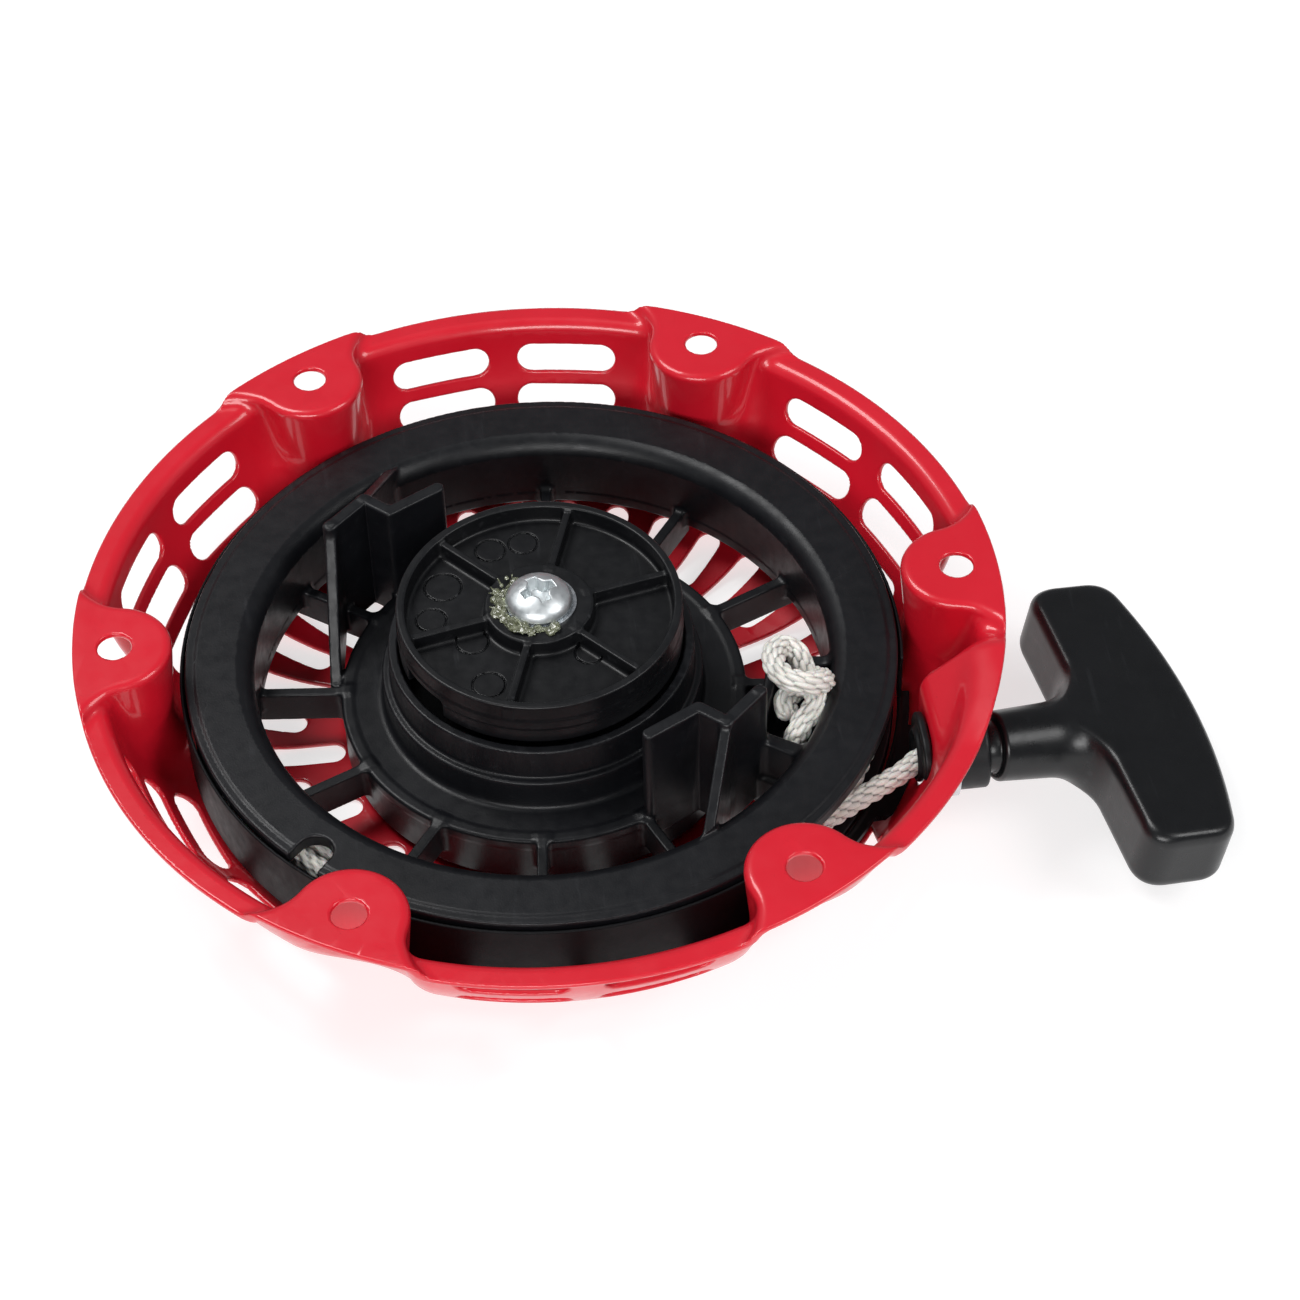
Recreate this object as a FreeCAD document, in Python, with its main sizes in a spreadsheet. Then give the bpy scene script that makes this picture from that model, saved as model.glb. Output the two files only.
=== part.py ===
import FreeCAD, Part
import Sketcher
import math
import os
import re

# Recoil starter, millimetres.  Origin on the crank axis at the ears' mounting plane, +Z towards the engine.

doc = FreeCAD.newDocument("recoil_starter")

# ---------------------------------------------------------------- driving sizes
SIZES = {
    "steel": 1.2,               # sheet thickness of the pressed housing
    "ear_circle_r": 85.5,       # bolt hole circle
    "ear_hole_r": 3.4,
    "ear_tip_r": 11.5,          # ear outline round the bolt hole
    "ear_flare_r": 12.0,        # concave flare from the tip to the rim
    "ear_corner_deg": 10.7,
    "ear_count": 6,
    "rim_r": 94.0,
    "face_z": -38.3,            # inner surface of the closed face
    "face_flat_r": 51.0,
    "wall_low_r": 37.0,         # lower wall bend
    "wall_high_r": 40.0,        # upper wall bend
    "slot_w": 6.5,
    "slot_len": 21.7,
    "slot_step_deg": 9.25,
    "face_slot_w": 5.2,
    "face_slot_out": 66.0,
    "face_slot_long_in": 42.4,
    "face_slot_short_in": 50.8,
    "face_slot_count": 18,
    "post_r": 6.5,
    "post_foot_r": 11.0,
    "post_top": -7.0,
    "post_bore_r": 3.05,
    "screw_r": 3.0,
    "screw_head_r": 7.0,
    "screw_seat": 1.0,
    "reel_r": 72.8,
    "reel_top": -11.0,
    "reel_ring_in": 59.0,
    "reel_core_r": 61.3,
    "groove_top": -14.2,
    "groove_low": -25.6,
    "reel_low": -28.2,
    "hub_r": 41.8,
    "hub_top": -24.4,
    "hub_plate": 2.4,
    "hub_low": -36.2,
    "drum_r": 33.0,
    "drum_step_r": 31.3,
    "drum_top": -9.6,
    "reel_bore_r": 6.56,
    "spoke_w": 2.2,
    "spoke_count": 12,
    "disc_r": 29.0,
    "disc_top": 0.6,
    "disc_floor": -3.0,
    "disc_low": -9.0,
    "disc_wall": 1.8,
    "boss_r": 11.0,
    "rope_r": 2.3,
    "rope_y": -33.0,
    "rope_z": -19.3,
    "coil_in_r": 63.8,
    "coil_out_r": 68.5,
    "guide_bore_r": 2.8,
    "guide_wall_x": 74.5,
    "guide_boss_r": 8.0,
    "guide_end": 86.0,
    "shroud_in": 73.25,         # guard ring round the reel
    "shroud_wall": 0.65,
    "shroud_top": -12.6,
    "shroud_low": -28.0,
    "stem_r": 7.2,
    "nose_r": 5.2,              # ball end of the grip, resting in the guide's cup
    "grip_half": 8.0,
    "grip_yaw": 9.0,            # the grip hangs a little off the guide's axis
    "grip_droop": 9.0,
    "dog_top": 0.0,
}

sheet = doc.addObject("Spreadsheet::Sheet", "Sizes")
for row, (name, value) in enumerate(SIZES.items(), start=1):
    sheet.set("A%d" % row, name)
    sheet.set("B%d" % row, str(value))
    sheet.setAlias("B%d" % row, name)
doc.recompute()


def size(name):
    """Value of one driving size."""
    return SIZES[name]


def ex(text):
    """Turn plain size names into references to the sheet."""
    def refer(match):
        word = match.group()
        return "Sizes." + word if word in SIZES else word
    return re.sub(r"[a-z][a-z_]+", refer, text)


def bind(obj, prop, text):
    obj.setExpression(prop, ex(text))


# ---------------------------------------------------------------- building blocks
def cylinder(name, radius, low, high, x="0", y="0"):
    """Upright cylinder between two heights."""
    obj = doc.addObject("Part::Cylinder", name)
    bind(obj, "Radius", radius)
    bind(obj, "Height", "(%s) - (%s)" % (high, low))
    bind(obj, "Placement.Base.x", x)
    bind(obj, "Placement.Base.y", y)
    bind(obj, "Placement.Base.z", low)
    return obj


def rod_x(name, radius, left, right, y="rope_y", z="rope_z"):
    """Cylinder along X between two stations."""
    obj = doc.addObject("Part::Cylinder", name)
    obj.Placement = FreeCAD.Placement(FreeCAD.Vector(), FreeCAD.Rotation(FreeCAD.Vector(0, 1, 0), 90))
    bind(obj, "Radius", radius)
    bind(obj, "Height", "(%s) - (%s)" % (right, left))
    bind(obj, "Placement.Base.x", left)
    bind(obj, "Placement.Base.y", y)
    bind(obj, "Placement.Base.z", z)
    return obj


def cone(name, low_r, high_r, low, high, x="0", y="0"):
    obj = doc.addObject("Part::Cone", name)
    bind(obj, "Radius1", low_r)
    bind(obj, "Radius2", high_r)
    bind(obj, "Height", "(%s) - (%s)" % (high, low))
    bind(obj, "Placement.Base.x", x)
    bind(obj, "Placement.Base.y", y)
    bind(obj, "Placement.Base.z", low)
    return obj


def box(name, x, y, z, length, width, height, turn=0.0):
    """Box with one corner at x, y, z, then turned about the Z axis of the origin."""
    obj = doc.addObject("Part::Box", name)
    bind(obj, "Length", length)
    bind(obj, "Width", width)
    bind(obj, "Height", height)
    if turn:
        doc.recompute()
        corner = FreeCAD.Vector(evaluate(x), evaluate(y), evaluate(z))
        spin = FreeCAD.Rotation(FreeCAD.Vector(0, 0, 1), turn)
        obj.Placement = FreeCAD.Placement(spin.multVec(corner), spin)
    else:
        bind(obj, "Placement.Base.x", x)
        bind(obj, "Placement.Base.y", y)
        bind(obj, "Placement.Base.z", z)
    return obj


def evaluate(text):
    """Value of a small sum or difference of size names and numbers."""
    total = 0.0
    for sign, term in re.findall(r"([+-]?)\s*([a-z_]+|[0-9.]+)(?:\s|$)", text.strip()):
        value = SIZES[term] if term in SIZES else float(term)
        total += -value if sign == "-" else value
    return total


def fuse(name, parts):
    if len(parts) == 1:
        return parts[0]
    obj = doc.addObject("Part::MultiFuse", name)
    obj.Shapes = parts
    return obj


def cut(name, base, tools):
    obj = doc.addObject("Part::Cut", name)
    obj.Base = base
    obj.Tool = fuse(name + "_tools", tools)
    return obj


def new_body(name):
    body = doc.addObject("PartDesign::Body", name)
    body.AllowCompound = True
    return body


def origin_plane(body, role):
    for item in body.Origin.OriginFeatures:
        if item.Role == role:
            return item
    return None


def new_sketch(body, role, name, offset=None):
    sketch = body.newObject("Sketcher::SketchObject", name)
    sketch.AttachmentSupport = (origin_plane(body, role), [""])
    sketch.MapMode = "FlatFace"
    if offset is not None:
        sketch.AttachmentOffset = offset
    return sketch


def outline(sketch, items):
    """Draw a closed outline: each item is a corner (x, y) or an arc (x, y, (mid x, mid y)) ending at x, y."""
    here = items[-1][:2]
    for item in items:
        there = item[:2]
        start = FreeCAD.Vector(here[0], here[1], 0)
        end = FreeCAD.Vector(there[0], there[1], 0)
        if len(item) == 3:
            middle = FreeCAD.Vector(item[2][0], item[2][1], 0)
            sketch.addGeometry(Part.Arc(start, middle, end), False)
        else:
            sketch.addGeometry(Part.LineSegment(start, end), False)
        here = there


def turned(name, items):
    """Body turned about Z from an (r, z) outline."""
    body = new_body(name)
    sketch = new_sketch(body, "XZ_Plane", name + "_profile")
    outline(sketch, items)
    turn = body.newObject("PartDesign::Revolution", name + "_turn")
    turn.Profile = sketch
    turn.ReferenceAxis = (sketch, ["V_Axis"])
    turn.Angle = 360.0
    body.Tip = turn
    return body


def padded(name, items, low, high):
    """Upright prism of an (x, y) outline between two heights."""
    body = new_body(name)
    spot = FreeCAD.Placement(FreeCAD.Vector(0, 0, low), FreeCAD.Rotation())
    sketch = new_sketch(body, "XY_Plane", name + "_outline", spot)
    outline(sketch, items)
    pad = body.newObject("PartDesign::Pad", name + "_pad")
    pad.Profile = sketch
    pad.Length = high - low
    body.Tip = pad
    return body


def web(name, start, end, half, heights):
    """Upright web between two points; heights are (distance, z) corners of its side view."""
    body = new_body(name)
    sketch = new_sketch(body, "XZ_Plane", name + "_side")
    outline(sketch, heights)
    pad = body.newObject("PartDesign::Pad", name + "_pad")
    pad.Profile = sketch
    pad.Length = 2 * half
    pad.Midplane = True
    body.Tip = pad
    turn = math.degrees(math.atan2(end[1] - start[1], end[0] - start[0]))
    body.Placement = FreeCAD.Placement(FreeCAD.Vector(start[0], start[1], 0),
                                       FreeCAD.Rotation(FreeCAD.Vector(0, 0, 1), turn))
    return body


def repeat(body, name, count_text):
    """Polar pattern of the body's tip about Z."""
    pattern = body.newObject("PartDesign::PolarPattern", name)
    pattern.Originals = [body.Tip]
    pattern.Axis = (origin_axis(body), [""])
    pattern.Angle = 360
    bind(pattern, "Occurrences", count_text)
    body.Tip = pattern
    return pattern


def origin_axis(body):
    for item in body.Origin.OriginFeatures:
        if item.Role == "Z_Axis":
            return item
    return None


def on_arc(centre, radius, slope_deg):
    """Point of an outward-bulging wall arc where the wall's slope is slope_deg."""
    slope = math.radians(slope_deg)
    return (centre[0] + radius * math.sin(slope), centre[1] - radius * math.cos(slope))


def polar(radius, degrees):
    return (radius * math.cos(math.radians(degrees)), radius * math.sin(math.radians(degrees)))


def name_it(obj, label):
    obj.Label = label
    NODES.append(obj)
    return obj


NODES = []

# ---------------------------------------------------------------- pressed housing
LOW_END = 53.0      # slope where the two wall bends meet
HIGH_END = 82.1     # slope at the top of the wall
LOW_C = (size("face_flat_r"), size("face_z") + size("wall_low_r"))
MEET = on_arc(LOW_C, size("wall_low_r"), LOW_END)
HIGH_C = (MEET[0] - size("wall_high_r") * math.sin(math.radians(LOW_END)),
          MEET[1] + size("wall_high_r") * math.cos(math.radians(LOW_END)))
TOP_IN = on_arc(HIGH_C, size("wall_high_r"), HIGH_END)
BEND_R = 2.8
BEND_C = (TOP_IN[0] + BEND_R * math.sin(math.radians(HIGH_END)),
          TOP_IN[1] - BEND_R * math.cos(math.radians(HIGH_END)))
RIM_TOP = BEND_C[1] + BEND_R


def wall_profile(grow, rim_out, cap_z, under):
    """Filled (r, z) outline of the bowl, its wall moved outwards by grow."""
    low_r = size("wall_low_r") + grow
    high_r = size("wall_high_r") + grow
    bend_r = BEND_R - grow
    top = on_arc(HIGH_C, high_r, HIGH_END)
    half = math.radians(HIGH_END / 2)
    bend_mid = (BEND_C[0] - bend_r * math.sin(half), BEND_C[1] + bend_r * math.cos(half))
    items = [(0, size("face_z") - grow),
             (size("face_flat_r"), size("face_z") - grow),
             on_arc(LOW_C, low_r, LOW_END) + (on_arc(LOW_C, low_r, LOW_END / 2),),
             top + (on_arc(HIGH_C, high_r, (LOW_END + HIGH_END) / 2),)]
    if under:
        items += [(BEND_C[0], BEND_C[1] + bend_r, bend_mid),
                  (rim_out, BEND_C[1] + bend_r),
                  (rim_out, RIM_TOP),
                  (0, RIM_TOP)]
    else:
        items += [(BEND_C[0], RIM_TOP, bend_mid),
                  (BEND_C[0], cap_z),
                  (0, cap_z)]
    return items


def ear_outline(inset):
    """Ear outline at angle 0: round tip about the bolt hole, flared to the rim."""
    hole = size("ear_circle_r")
    tip = size("ear_tip_r")
    flare = size("ear_flare_r")
    corner = polar(93.5, size("ear_corner_deg"))
    # flare circle touches the tip circle and passes through the rim corner
    gap = tip + flare
    dx = corner[0] - hole
    dy = corner[1]
    span = math.hypot(dx, dy)
    along = (gap ** 2 - flare ** 2 + span ** 2) / (2 * span)
    side = math.sqrt(gap ** 2 - along ** 2)
    fx = hole + (dx * along - dy * side) / span
    fy = (dy * along + dx * side) / span
    touch = math.atan2(fy, fx - hole)
    tip -= inset
    flare += inset
    t_up = (hole + tip * math.cos(touch), tip * math.sin(touch))
    end_dir = math.atan2(corner[1] - fy, corner[0] - fx)
    start_dir = math.atan2(t_up[1] - fy, t_up[0] - fx)
    mid_dir = (end_dir + start_dir) / 2
    end = (fx + flare * math.cos(end_dir), fy + flare * math.sin(end_dir))
    mid = (fx + flare * math.cos(mid_dir), fy + flare * math.sin(mid_dir))
    reach = 12.0
    far = (end[0] - reach * math.sin(end_dir), end[1] + reach * math.cos(end_dir))
    return [t_up + ((hole - tip, 0.0),),
            end + (mid,),
            far,
            (far[0], -far[1]),
            (end[0], -end[1]),
            (t_up[0], -t_up[1], (mid[0], -mid[1]))]


def ear_ring(name, inset, low, high):
    body = padded(name, ear_outline(inset), low, high)
    repeat(body, name + "_ring", "ear_count")
    return body


def obround(width, length):
    """Slot outline centred on the origin, long along x."""
    half = width / 2
    run = length / 2 - half
    return [(run, -half),
            (run, half, (run + half, 0)),
            (-run, half),
            (-run, -half, (-run - half, 0))]


def wall_slots(name, radius, z, slope, turn):
    """Six slots square to the wall at one height."""
    body = new_body(name)
    tilt = FreeCAD.Rotation(FreeCAD.Vector(1, 0, 0), 90 - slope)
    spot = FreeCAD.Placement(FreeCAD.Vector(0, z, radius), tilt)
    sketch = new_sketch(body, "YZ_Plane", name + "_outline", spot)
    outline(sketch, obround(size("slot_w"), size("slot_len")))
    pad = body.newObject("PartDesign::Pad", name + "_pad")
    pad.Profile = sketch
    pad.Length = 12.0
    pad.Midplane = True
    body.Tip = pad
    repeat(body, name + "_ring", "ear_count")
    body.Placement = FreeCAD.Placement(FreeCAD.Vector(), FreeCAD.Rotation(FreeCAD.Vector(0, 0, 1), turn))
    return body


def face_slots(name, inner, turn):
    middle = (inner + size("face_slot_out")) / 2
    length = size("face_slot_out") - inner
    body = new_body(name)
    spot = FreeCAD.Placement(FreeCAD.Vector(middle, 0, size("face_z") - 6), FreeCAD.Rotation())
    sketch = new_sketch(body, "XY_Plane", name + "_outline", spot)
    outline(sketch, obround(size("face_slot_w"), length))
    pad = body.newObject("PartDesign::Pad", name + "_pad")
    pad.Profile = sketch
    pad.Length = 14.0
    body.Tip = pad
    repeat(body, name + "_ring", "face_slot_count")
    body.Placement = FreeCAD.Placement(FreeCAD.Vector(), FreeCAD.Rotation(FreeCAD.Vector(0, 0, 1), turn))
    return body


steel = size("steel")
outer_bowl = turned("outer_bowl", wall_profile(steel, size("rim_r"), 0, True))
inner_bowl = turned("inner_bowl", wall_profile(0.0, 0, 3.0, False))
ears_all = ear_ring("ear_blocks", 0.0, -44.0, 0.0)
ears_cap = ear_ring("ear_caps", 0.0, RIM_TOP - 0.2, 0.0)
ear_trim = cylinder("ear_trim", "rim_r", "-50", "10")
ear_tops = doc.addObject("Part::Common", "ear_tops")
ear_tops.Base = ears_cap
ear_tops.Tool = ear_trim
POCKET_SPOT = (size("guide_wall_x"), size("rope_y"))
POCKET_FAR = (size("guide_wall_x") + 22.0, size("rope_y"))
pocket_block = web("pocket_block", POCKET_SPOT, POCKET_FAR, 13.0,
                   [(0.0, -29.8), (22.0, -29.8), (22.0, -3.9), (7.6, -3.9), (0.0, -10.4)])
pocket_inner = web("pocket_inner", POCKET_SPOT, POCKET_FAR, 13.0 - steel,
                   [(steel, -28.6), (22.0, -28.6), (22.0, -5.1), (8.1, -5.1), (steel, -11.0)])
cavity = cut("cavity", inner_bowl, [ears_all, pocket_block])
shell = cut("shell", fuse("filled", [outer_bowl, ear_tops]), [cavity])
flutes = ear_ring("ear_flutes", steel, -46.0, -steel)
holes = cylinder("ear_hole", "ear_hole_r", "-6", "4", "ear_circle_r")
hole_tools = [holes]
for index in range(1, int(size("ear_count"))):
    spot = polar(size("ear_circle_r"), 60 * index)
    hole = cylinder("ear_hole_%d" % index, "ear_hole_r", "-6", "4")
    bind(hole, "Placement.Base.x", "ear_circle_r * cos(%d deg)" % (60 * index))
    bind(hole, "Placement.Base.y", "ear_circle_r * sin(%d deg)" % (60 * index))
    hole_tools.append(hole)
slot_tools = []
WALL_ROWS = [(88.0, -11.6, 72.0), (83.6, -20.3, 59.5), (77.3, -28.0, 47.0)]
for row, (row_r, row_z, row_slope) in enumerate(WALL_ROWS, start=1):
    for side, turn in (("a", 30 - size("slot_step_deg")), ("b", 30 + size("slot_step_deg"))):
        slot_tools.append(wall_slots("wall_slots_%d%s" % (row, side), row_r, row_z, row_slope, turn))
slot_tools.append(face_slots("face_slots_long", size("face_slot_long_in"), 0))
slot_tools.append(face_slots("face_slots_short", size("face_slot_short_in"), 10))
slot_keep = box("slot_keep", "62", "rope_y - 15", "rope_z - 12.5", "40", "30", "31")
slots = cut("slots", fuse("slots_all", slot_tools), [slot_keep])
guide_hole = rod_x("guide_hole", "6.3", "60", "84")
post_hole = cylinder("post_hole", "4.1", "-45", "-30")
housing = cut("housing", shell, [flutes, pocket_inner, slots, guide_hole, post_hole] + hole_tools)
name_it(housing, "housing")

# ---------------------------------------------------------------- centre post, screw and washer
post = fuse("post_solid", [
    cylinder("post_rivet", "4.0", "face_z - steel", "face_z + 0.1"),
    cylinder("post_foot", "post_foot_r", "face_z", "face_z + 2.2"),
    cylinder("post_shank", "post_r", "face_z + 2", "post_top"),
    cylinder("post_collar", "9.0", "face_z + 2", "hub_top - hub_plate - 0.6"),
    cylinder("post_nose", "4.6", "post_top - 0.1", "disc_top - 0.06"),
])
hook_slot = box("hook_slot", "7.4", "-0.4", "-36.0", "3", "1.4", "9")
post_cut = cut("post", post, [cylinder("post_bore", "post_bore_r", "-30", "10"), hook_slot])
name_it(post_cut, "centre_post")

washer = cut("washer", cylinder("washer_disc", "7.6", "disc_top", "screw_seat"),
             [cylinder("washer_hole", "3.3", "-5", "5")])
name_it(washer, "screw_washer")

thrust_disc = cylinder("thrust_disc", "9.4", "hub_top - hub_plate - 0.55", "hub_top - hub_plate - 0.05")
thrust = cut("thrust", thrust_disc, [cylinder("thrust_hole", "6.8", "-30", "-20")])
name_it(thrust, "thrust_washer")

head_dome = turned("head_dome", [(0, size("screw_seat")), (size("screw_head_r"), size("screw_seat")),
                                 (size("screw_head_r"), size("screw_seat") + 1.6),
                                 (5.2, size("screw_seat") + 4.0, (6.5, size("screw_seat") + 3.2)),
                                 (0, size("screw_seat") + 4.5, (2.6, size("screw_seat") + 4.4))])
screw_body = fuse("screw_body", [head_dome, cylinder("screw_shank", "screw_r", "-24", "screw_seat + 0.2")])
recess = [box("recess_a", "-3.4", "-0.65", "screw_seat + 1.6", "6.8", "1.3", "6", 30),
          box("recess_b", "-3.4", "-0.65", "screw_seat + 1.6", "6.8", "1.3", "6", 120),
          cone("recess_c", "0.5", "1.7", "screw_seat + 1.4", "screw_seat + 5")]
name_it(cut("screw", screw_body, recess), "centre_screw")

# set ring of thread-locking compound round the washer
bead_spots = [(8.9, 0, 1.0), (8.7, 38, 1.2), (9.0, 71, 0.9), (8.6, 118, 1.3), (8.9, 160, 1.1),
              (8.7, 205, 1.4), (9.0, 236, 1.1), (8.6, 290, 1.2), (8.9, 326, 0.9)]
beads = []
for index, (spot_r, spot_deg, lump) in enumerate(bead_spots):
    ball = doc.addObject("Part::Sphere", "bead_%d" % index)
    ball.Radius = lump
    x, y = polar(spot_r, spot_deg)
    ball.Placement.Base = FreeCAD.Vector(x, y, size("disc_top") + 0.15)
    beads.append(ball)
bead_ring = cut("bead_ring", cylinder("bead_disc", "9.1", "disc_top", "disc_top + 0.7"),
                [cylinder("bead_hole", "7.7", "-5", "5")])
bead_base = cylinder("bead_base", "20", "-6", "disc_top")
bead_clear = cylinder("bead_clear", "7.7", "-5", "5")
name_it(cut("bead_trim", fuse("bead_all", [bead_ring] + beads), [bead_base, bead_clear]), "thread_locker")


# ---------------------------------------------------------------- reel
def rope_along(label, points, radius):
    """Round rope along straight runs joined by tangent arcs."""
    edges = []
    here = points[0]
    for index in range(1, len(points) - 1):
        corner = points[index]
        ahead = FreeCAD.Vector(corner - points[index - 1])
        after = FreeCAD.Vector(points[index + 1] - corner)
        half_turn = ahead.getAngle(after) / 2
        reach = 0.45 * min(ahead.Length, after.Length)
        bend = reach / math.tan(half_turn)
        ahead.normalize()
        after.normalize()
        start = corner - ahead * reach
        end = corner + after * reach
        inward = after - ahead
        inward.normalize()
        centre = corner + inward * (bend / math.cos(half_turn))
        middle = centre - inward * bend
        print("%s bend radius %.1f" % (label, bend))
        edges.append(Part.LineSegment(here, start).toShape())
        edges.append(Part.Arc(start, middle, end).toShape())
        here = end
    edges.append(Part.LineSegment(here, points[-1]).toShape())
    path = Part.Wire(edges)
    direction = points[1] - points[0]
    circle = Part.Wire([Part.Circle(points[0], direction, radius).toShape()])
    pipe = path.makePipeShell([circle], True, True)
    obj = doc.addObject("Part::Feature", label)
    obj.Shape = pipe if pipe.ShapeType == "Solid" else Part.Solid(pipe)
    return obj


ring = turned("reel_ring", [
    (size("reel_ring_in"), size("reel_low")),
    (size("reel_r") - 0.4, size("reel_low")),
    (size("reel_r") - 0.4, size("groove_low")),
    (size("reel_core_r"), size("groove_low")),
    (size("reel_core_r"), size("groove_top")),
    (size("reel_r"), size("groove_top")),
    (size("reel_r"), size("reel_top") - 0.5),
    (size("reel_r") - 0.8, size("reel_top")),
    (62.8, size("reel_top") + 0.3),
    (size("reel_ring_in"), size("reel_top") - 4.5, (60.0, size("reel_top") - 1.4)),
])
# the reel is one moulding; its drum, web, rim and dogs are kept as pieces that meet face to face
drum = turned("reel_drum", [
    (size("reel_bore_r"), size("hub_top") - size("hub_plate")),
    (size("drum_r"), size("hub_top") - size("hub_plate")),
    (size("drum_r"), -17.4),
    (size("drum_step_r"), -16.8),
    (size("drum_step_r"), size("drum_top")),
    (29.3, size("drum_top")),
    (29.3, size("hub_top") + 2.2),
    (9.6, size("hub_top") + 2.2),
    (9.6, -9.4),
    (size("reel_bore_r"), -9.4),
])
flange = turned("reel_flange", [
    (size("drum_r"), size("hub_top") - size("hub_plate")),
    (size("hub_r") - 2.4, size("hub_top") - size("hub_plate")),
    (size("hub_r") - 2.4, size("hub_low")),
    (size("hub_r"), size("hub_low")),
    (size("hub_r"), size("hub_top")),
    (size("drum_r"), size("hub_top")),
])
spoke_half = size("spoke_w") / 2
spokes = padded("reel_spokes", [(41.0, -spoke_half), (60.0, -spoke_half), (60.0, spoke_half),
                                (41.0, spoke_half)], -32.0, size("hub_top"))
repeat(spokes, "reel_spokes_ring", "spoke_count")
spokes.Placement = FreeCAD.Placement(FreeCAD.Vector(), FreeCAD.Rotation(FreeCAD.Vector(0, 0, 1), -6))

# drive dog: folded upright wall braced to the hub and to the ring
DOG_WALL = [(17.9, -37.0), (28.3, -31.4), (33.3, -35.8), (40.8, -28.6)]
DOG_HALF = 1.35


def ribbon(points, half):
    """Outline of constant width about a chain of points."""
    left = []
    right = []
    for index, point in enumerate(points):
        before = points[max(index - 1, 0)]
        after = points[min(index + 1, len(points) - 1)]
        tx, ty = after[0] - before[0], after[1] - before[1]
        if 0 < index < len(points) - 1:
            ax, ay = point[0] - before[0], point[1] - before[1]
            bx, by = after[0] - point[0], after[1] - point[1]
            al, bl = math.hypot(ax, ay), math.hypot(bx, by)
            tx, ty = ax / al + bx / bl, ay / al + by / bl
            stretch = 1 / (math.hypot(tx, ty) / 2)
        else:
            stretch = 1.0
        length = math.hypot(tx, ty)
        nx, ny = -ty / length * half * stretch, tx / length * half * stretch
        left.append((point[0] + nx, point[1] + ny))
        right.append((point[0] - nx, point[1] - ny))
    return left + right[::-1]


dog_wall = padded("dog_wall", ribbon(DOG_WALL, DOG_HALF), size("hub_top"), size("dog_top"))
dog_gusset = web("dog_gusset", (33.3, -35.8), (25.9, -56.0), 1.1,
                 [(0.2, size("hub_top")), (20.6, size("hub_top")), (20.6, -10.9), (0.2, -0.1)])
dog_brace = web("dog_brace", (40.8, -28.6), (42.8, -7.5), 1.2,
                [(0.0, size("hub_top")), (21.2, size("hub_top")), (0.0, -0.1)])
dog_whole = fuse("dog_whole", [dog_wall, dog_gusset, dog_brace])
dog_other = doc.addObject("Part::Mirroring", "dog_mirror_a")
dog_other.Source = dog_whole
dog_other.Base = (0, 0, 0)
dog_other.Normal = (1, 0, 0)
dog_two = doc.addObject("Part::Mirroring", "dog_mirror_b")
dog_two.Source = dog_other
dog_two.Base = (0, 0, 0)
dog_two.Normal = (0, 1, 0)

# solid segment of the ring that holds the rope's knot
knot_block = padded("knot_block", [polar(46.0, -31.0), polar(61.0, -38.0), polar(61.0, -8.0),
                                   polar(46.0, -8.0)], size("reel_low"), size("reel_top") - 3.4)
knot_pocket = padded("knot_pocket", [polar(48.2, -30.0), polar(59.2, -34.0), polar(59.2, -11.0),
                                     polar(48.2, -11.0)], -22.6, 2.0)
notch = padded("notch", [(80.0, -3.6), (80.0, 3.6), (69.1, 3.6), (69.1, -3.6, (65.5, 0))], -15.5, -8.0)
notch.Placement = FreeCAD.Placement(FreeCAD.Vector(), FreeCAD.Rotation(FreeCAD.Vector(0, 0, 1), -135))
rope_door = doc.addObject("Part::Cylinder", "rope_door")
bind(rope_door, "Radius", "rope_r + 0.4")
rope_door.Height = 10.0
door_spin = FreeCAD.Rotation(FreeCAD.Vector(0, 0, 1), -38).multiply(
    FreeCAD.Rotation(FreeCAD.Vector(0, 1, 0), 90))
door_spot = polar(55.5, -31.0)
rope_door.Placement = FreeCAD.Placement(FreeCAD.Vector(door_spot[0], door_spot[1], -17.2), door_spin)
rim_solid = fuse("rim_solid", [ring, knot_block])
ring_inside = cylinder("ring_inside", "reel_ring_in", "-45", "6")
ring_keep = cut("ring_keep", cylinder("ring_block", "reel_r + 5", "-40", "5"), [ring_inside])
name_it(cut("rim_cut", rim_solid, [knot_pocket, notch, rope_door]), "reel_rim")
name_it(drum, "reel")
name_it(cut("web_cut", fuse("web_solid", [flange, spokes]), [ring_keep, knot_block]), "reel_web")
name_it(cut("dog_near_cut", dog_whole, [ring_keep, knot_block]), "drive_dog_near")
name_it(cut("dog_far_cut", dog_two, [ring_keep, knot_block]), "drive_dog_far")

# ---------------------------------------------------------------- recoil spring and its pin
SPRING_LOW = -34.6
SPRING_HIGH = -27.9
SPRING_HALF_TURNS = 17
SPRING_IN = 10.4
SPRING_STEP = 1.56      # growth of the radius in half a turn


def spiral_side(offset):
    """One side of the flat spring's strip: half circles about two centres in turn."""
    edges = []
    for index in range(SPRING_HALF_TURNS):
        radius = SPRING_IN + SPRING_STEP * index + offset
        centre = SPRING_STEP * (index % 2)
        side = -1 if index % 2 else 1
        start = FreeCAD.Vector(centre + side * radius, 0, SPRING_LOW)
        middle = FreeCAD.Vector(centre, side * radius, SPRING_LOW)
        end = FreeCAD.Vector(centre - side * radius, 0, SPRING_LOW)
        edges.append(Part.Arc(start, middle, end).toShape())
        if index == 0:
            first = start
    return edges, first, end


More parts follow.
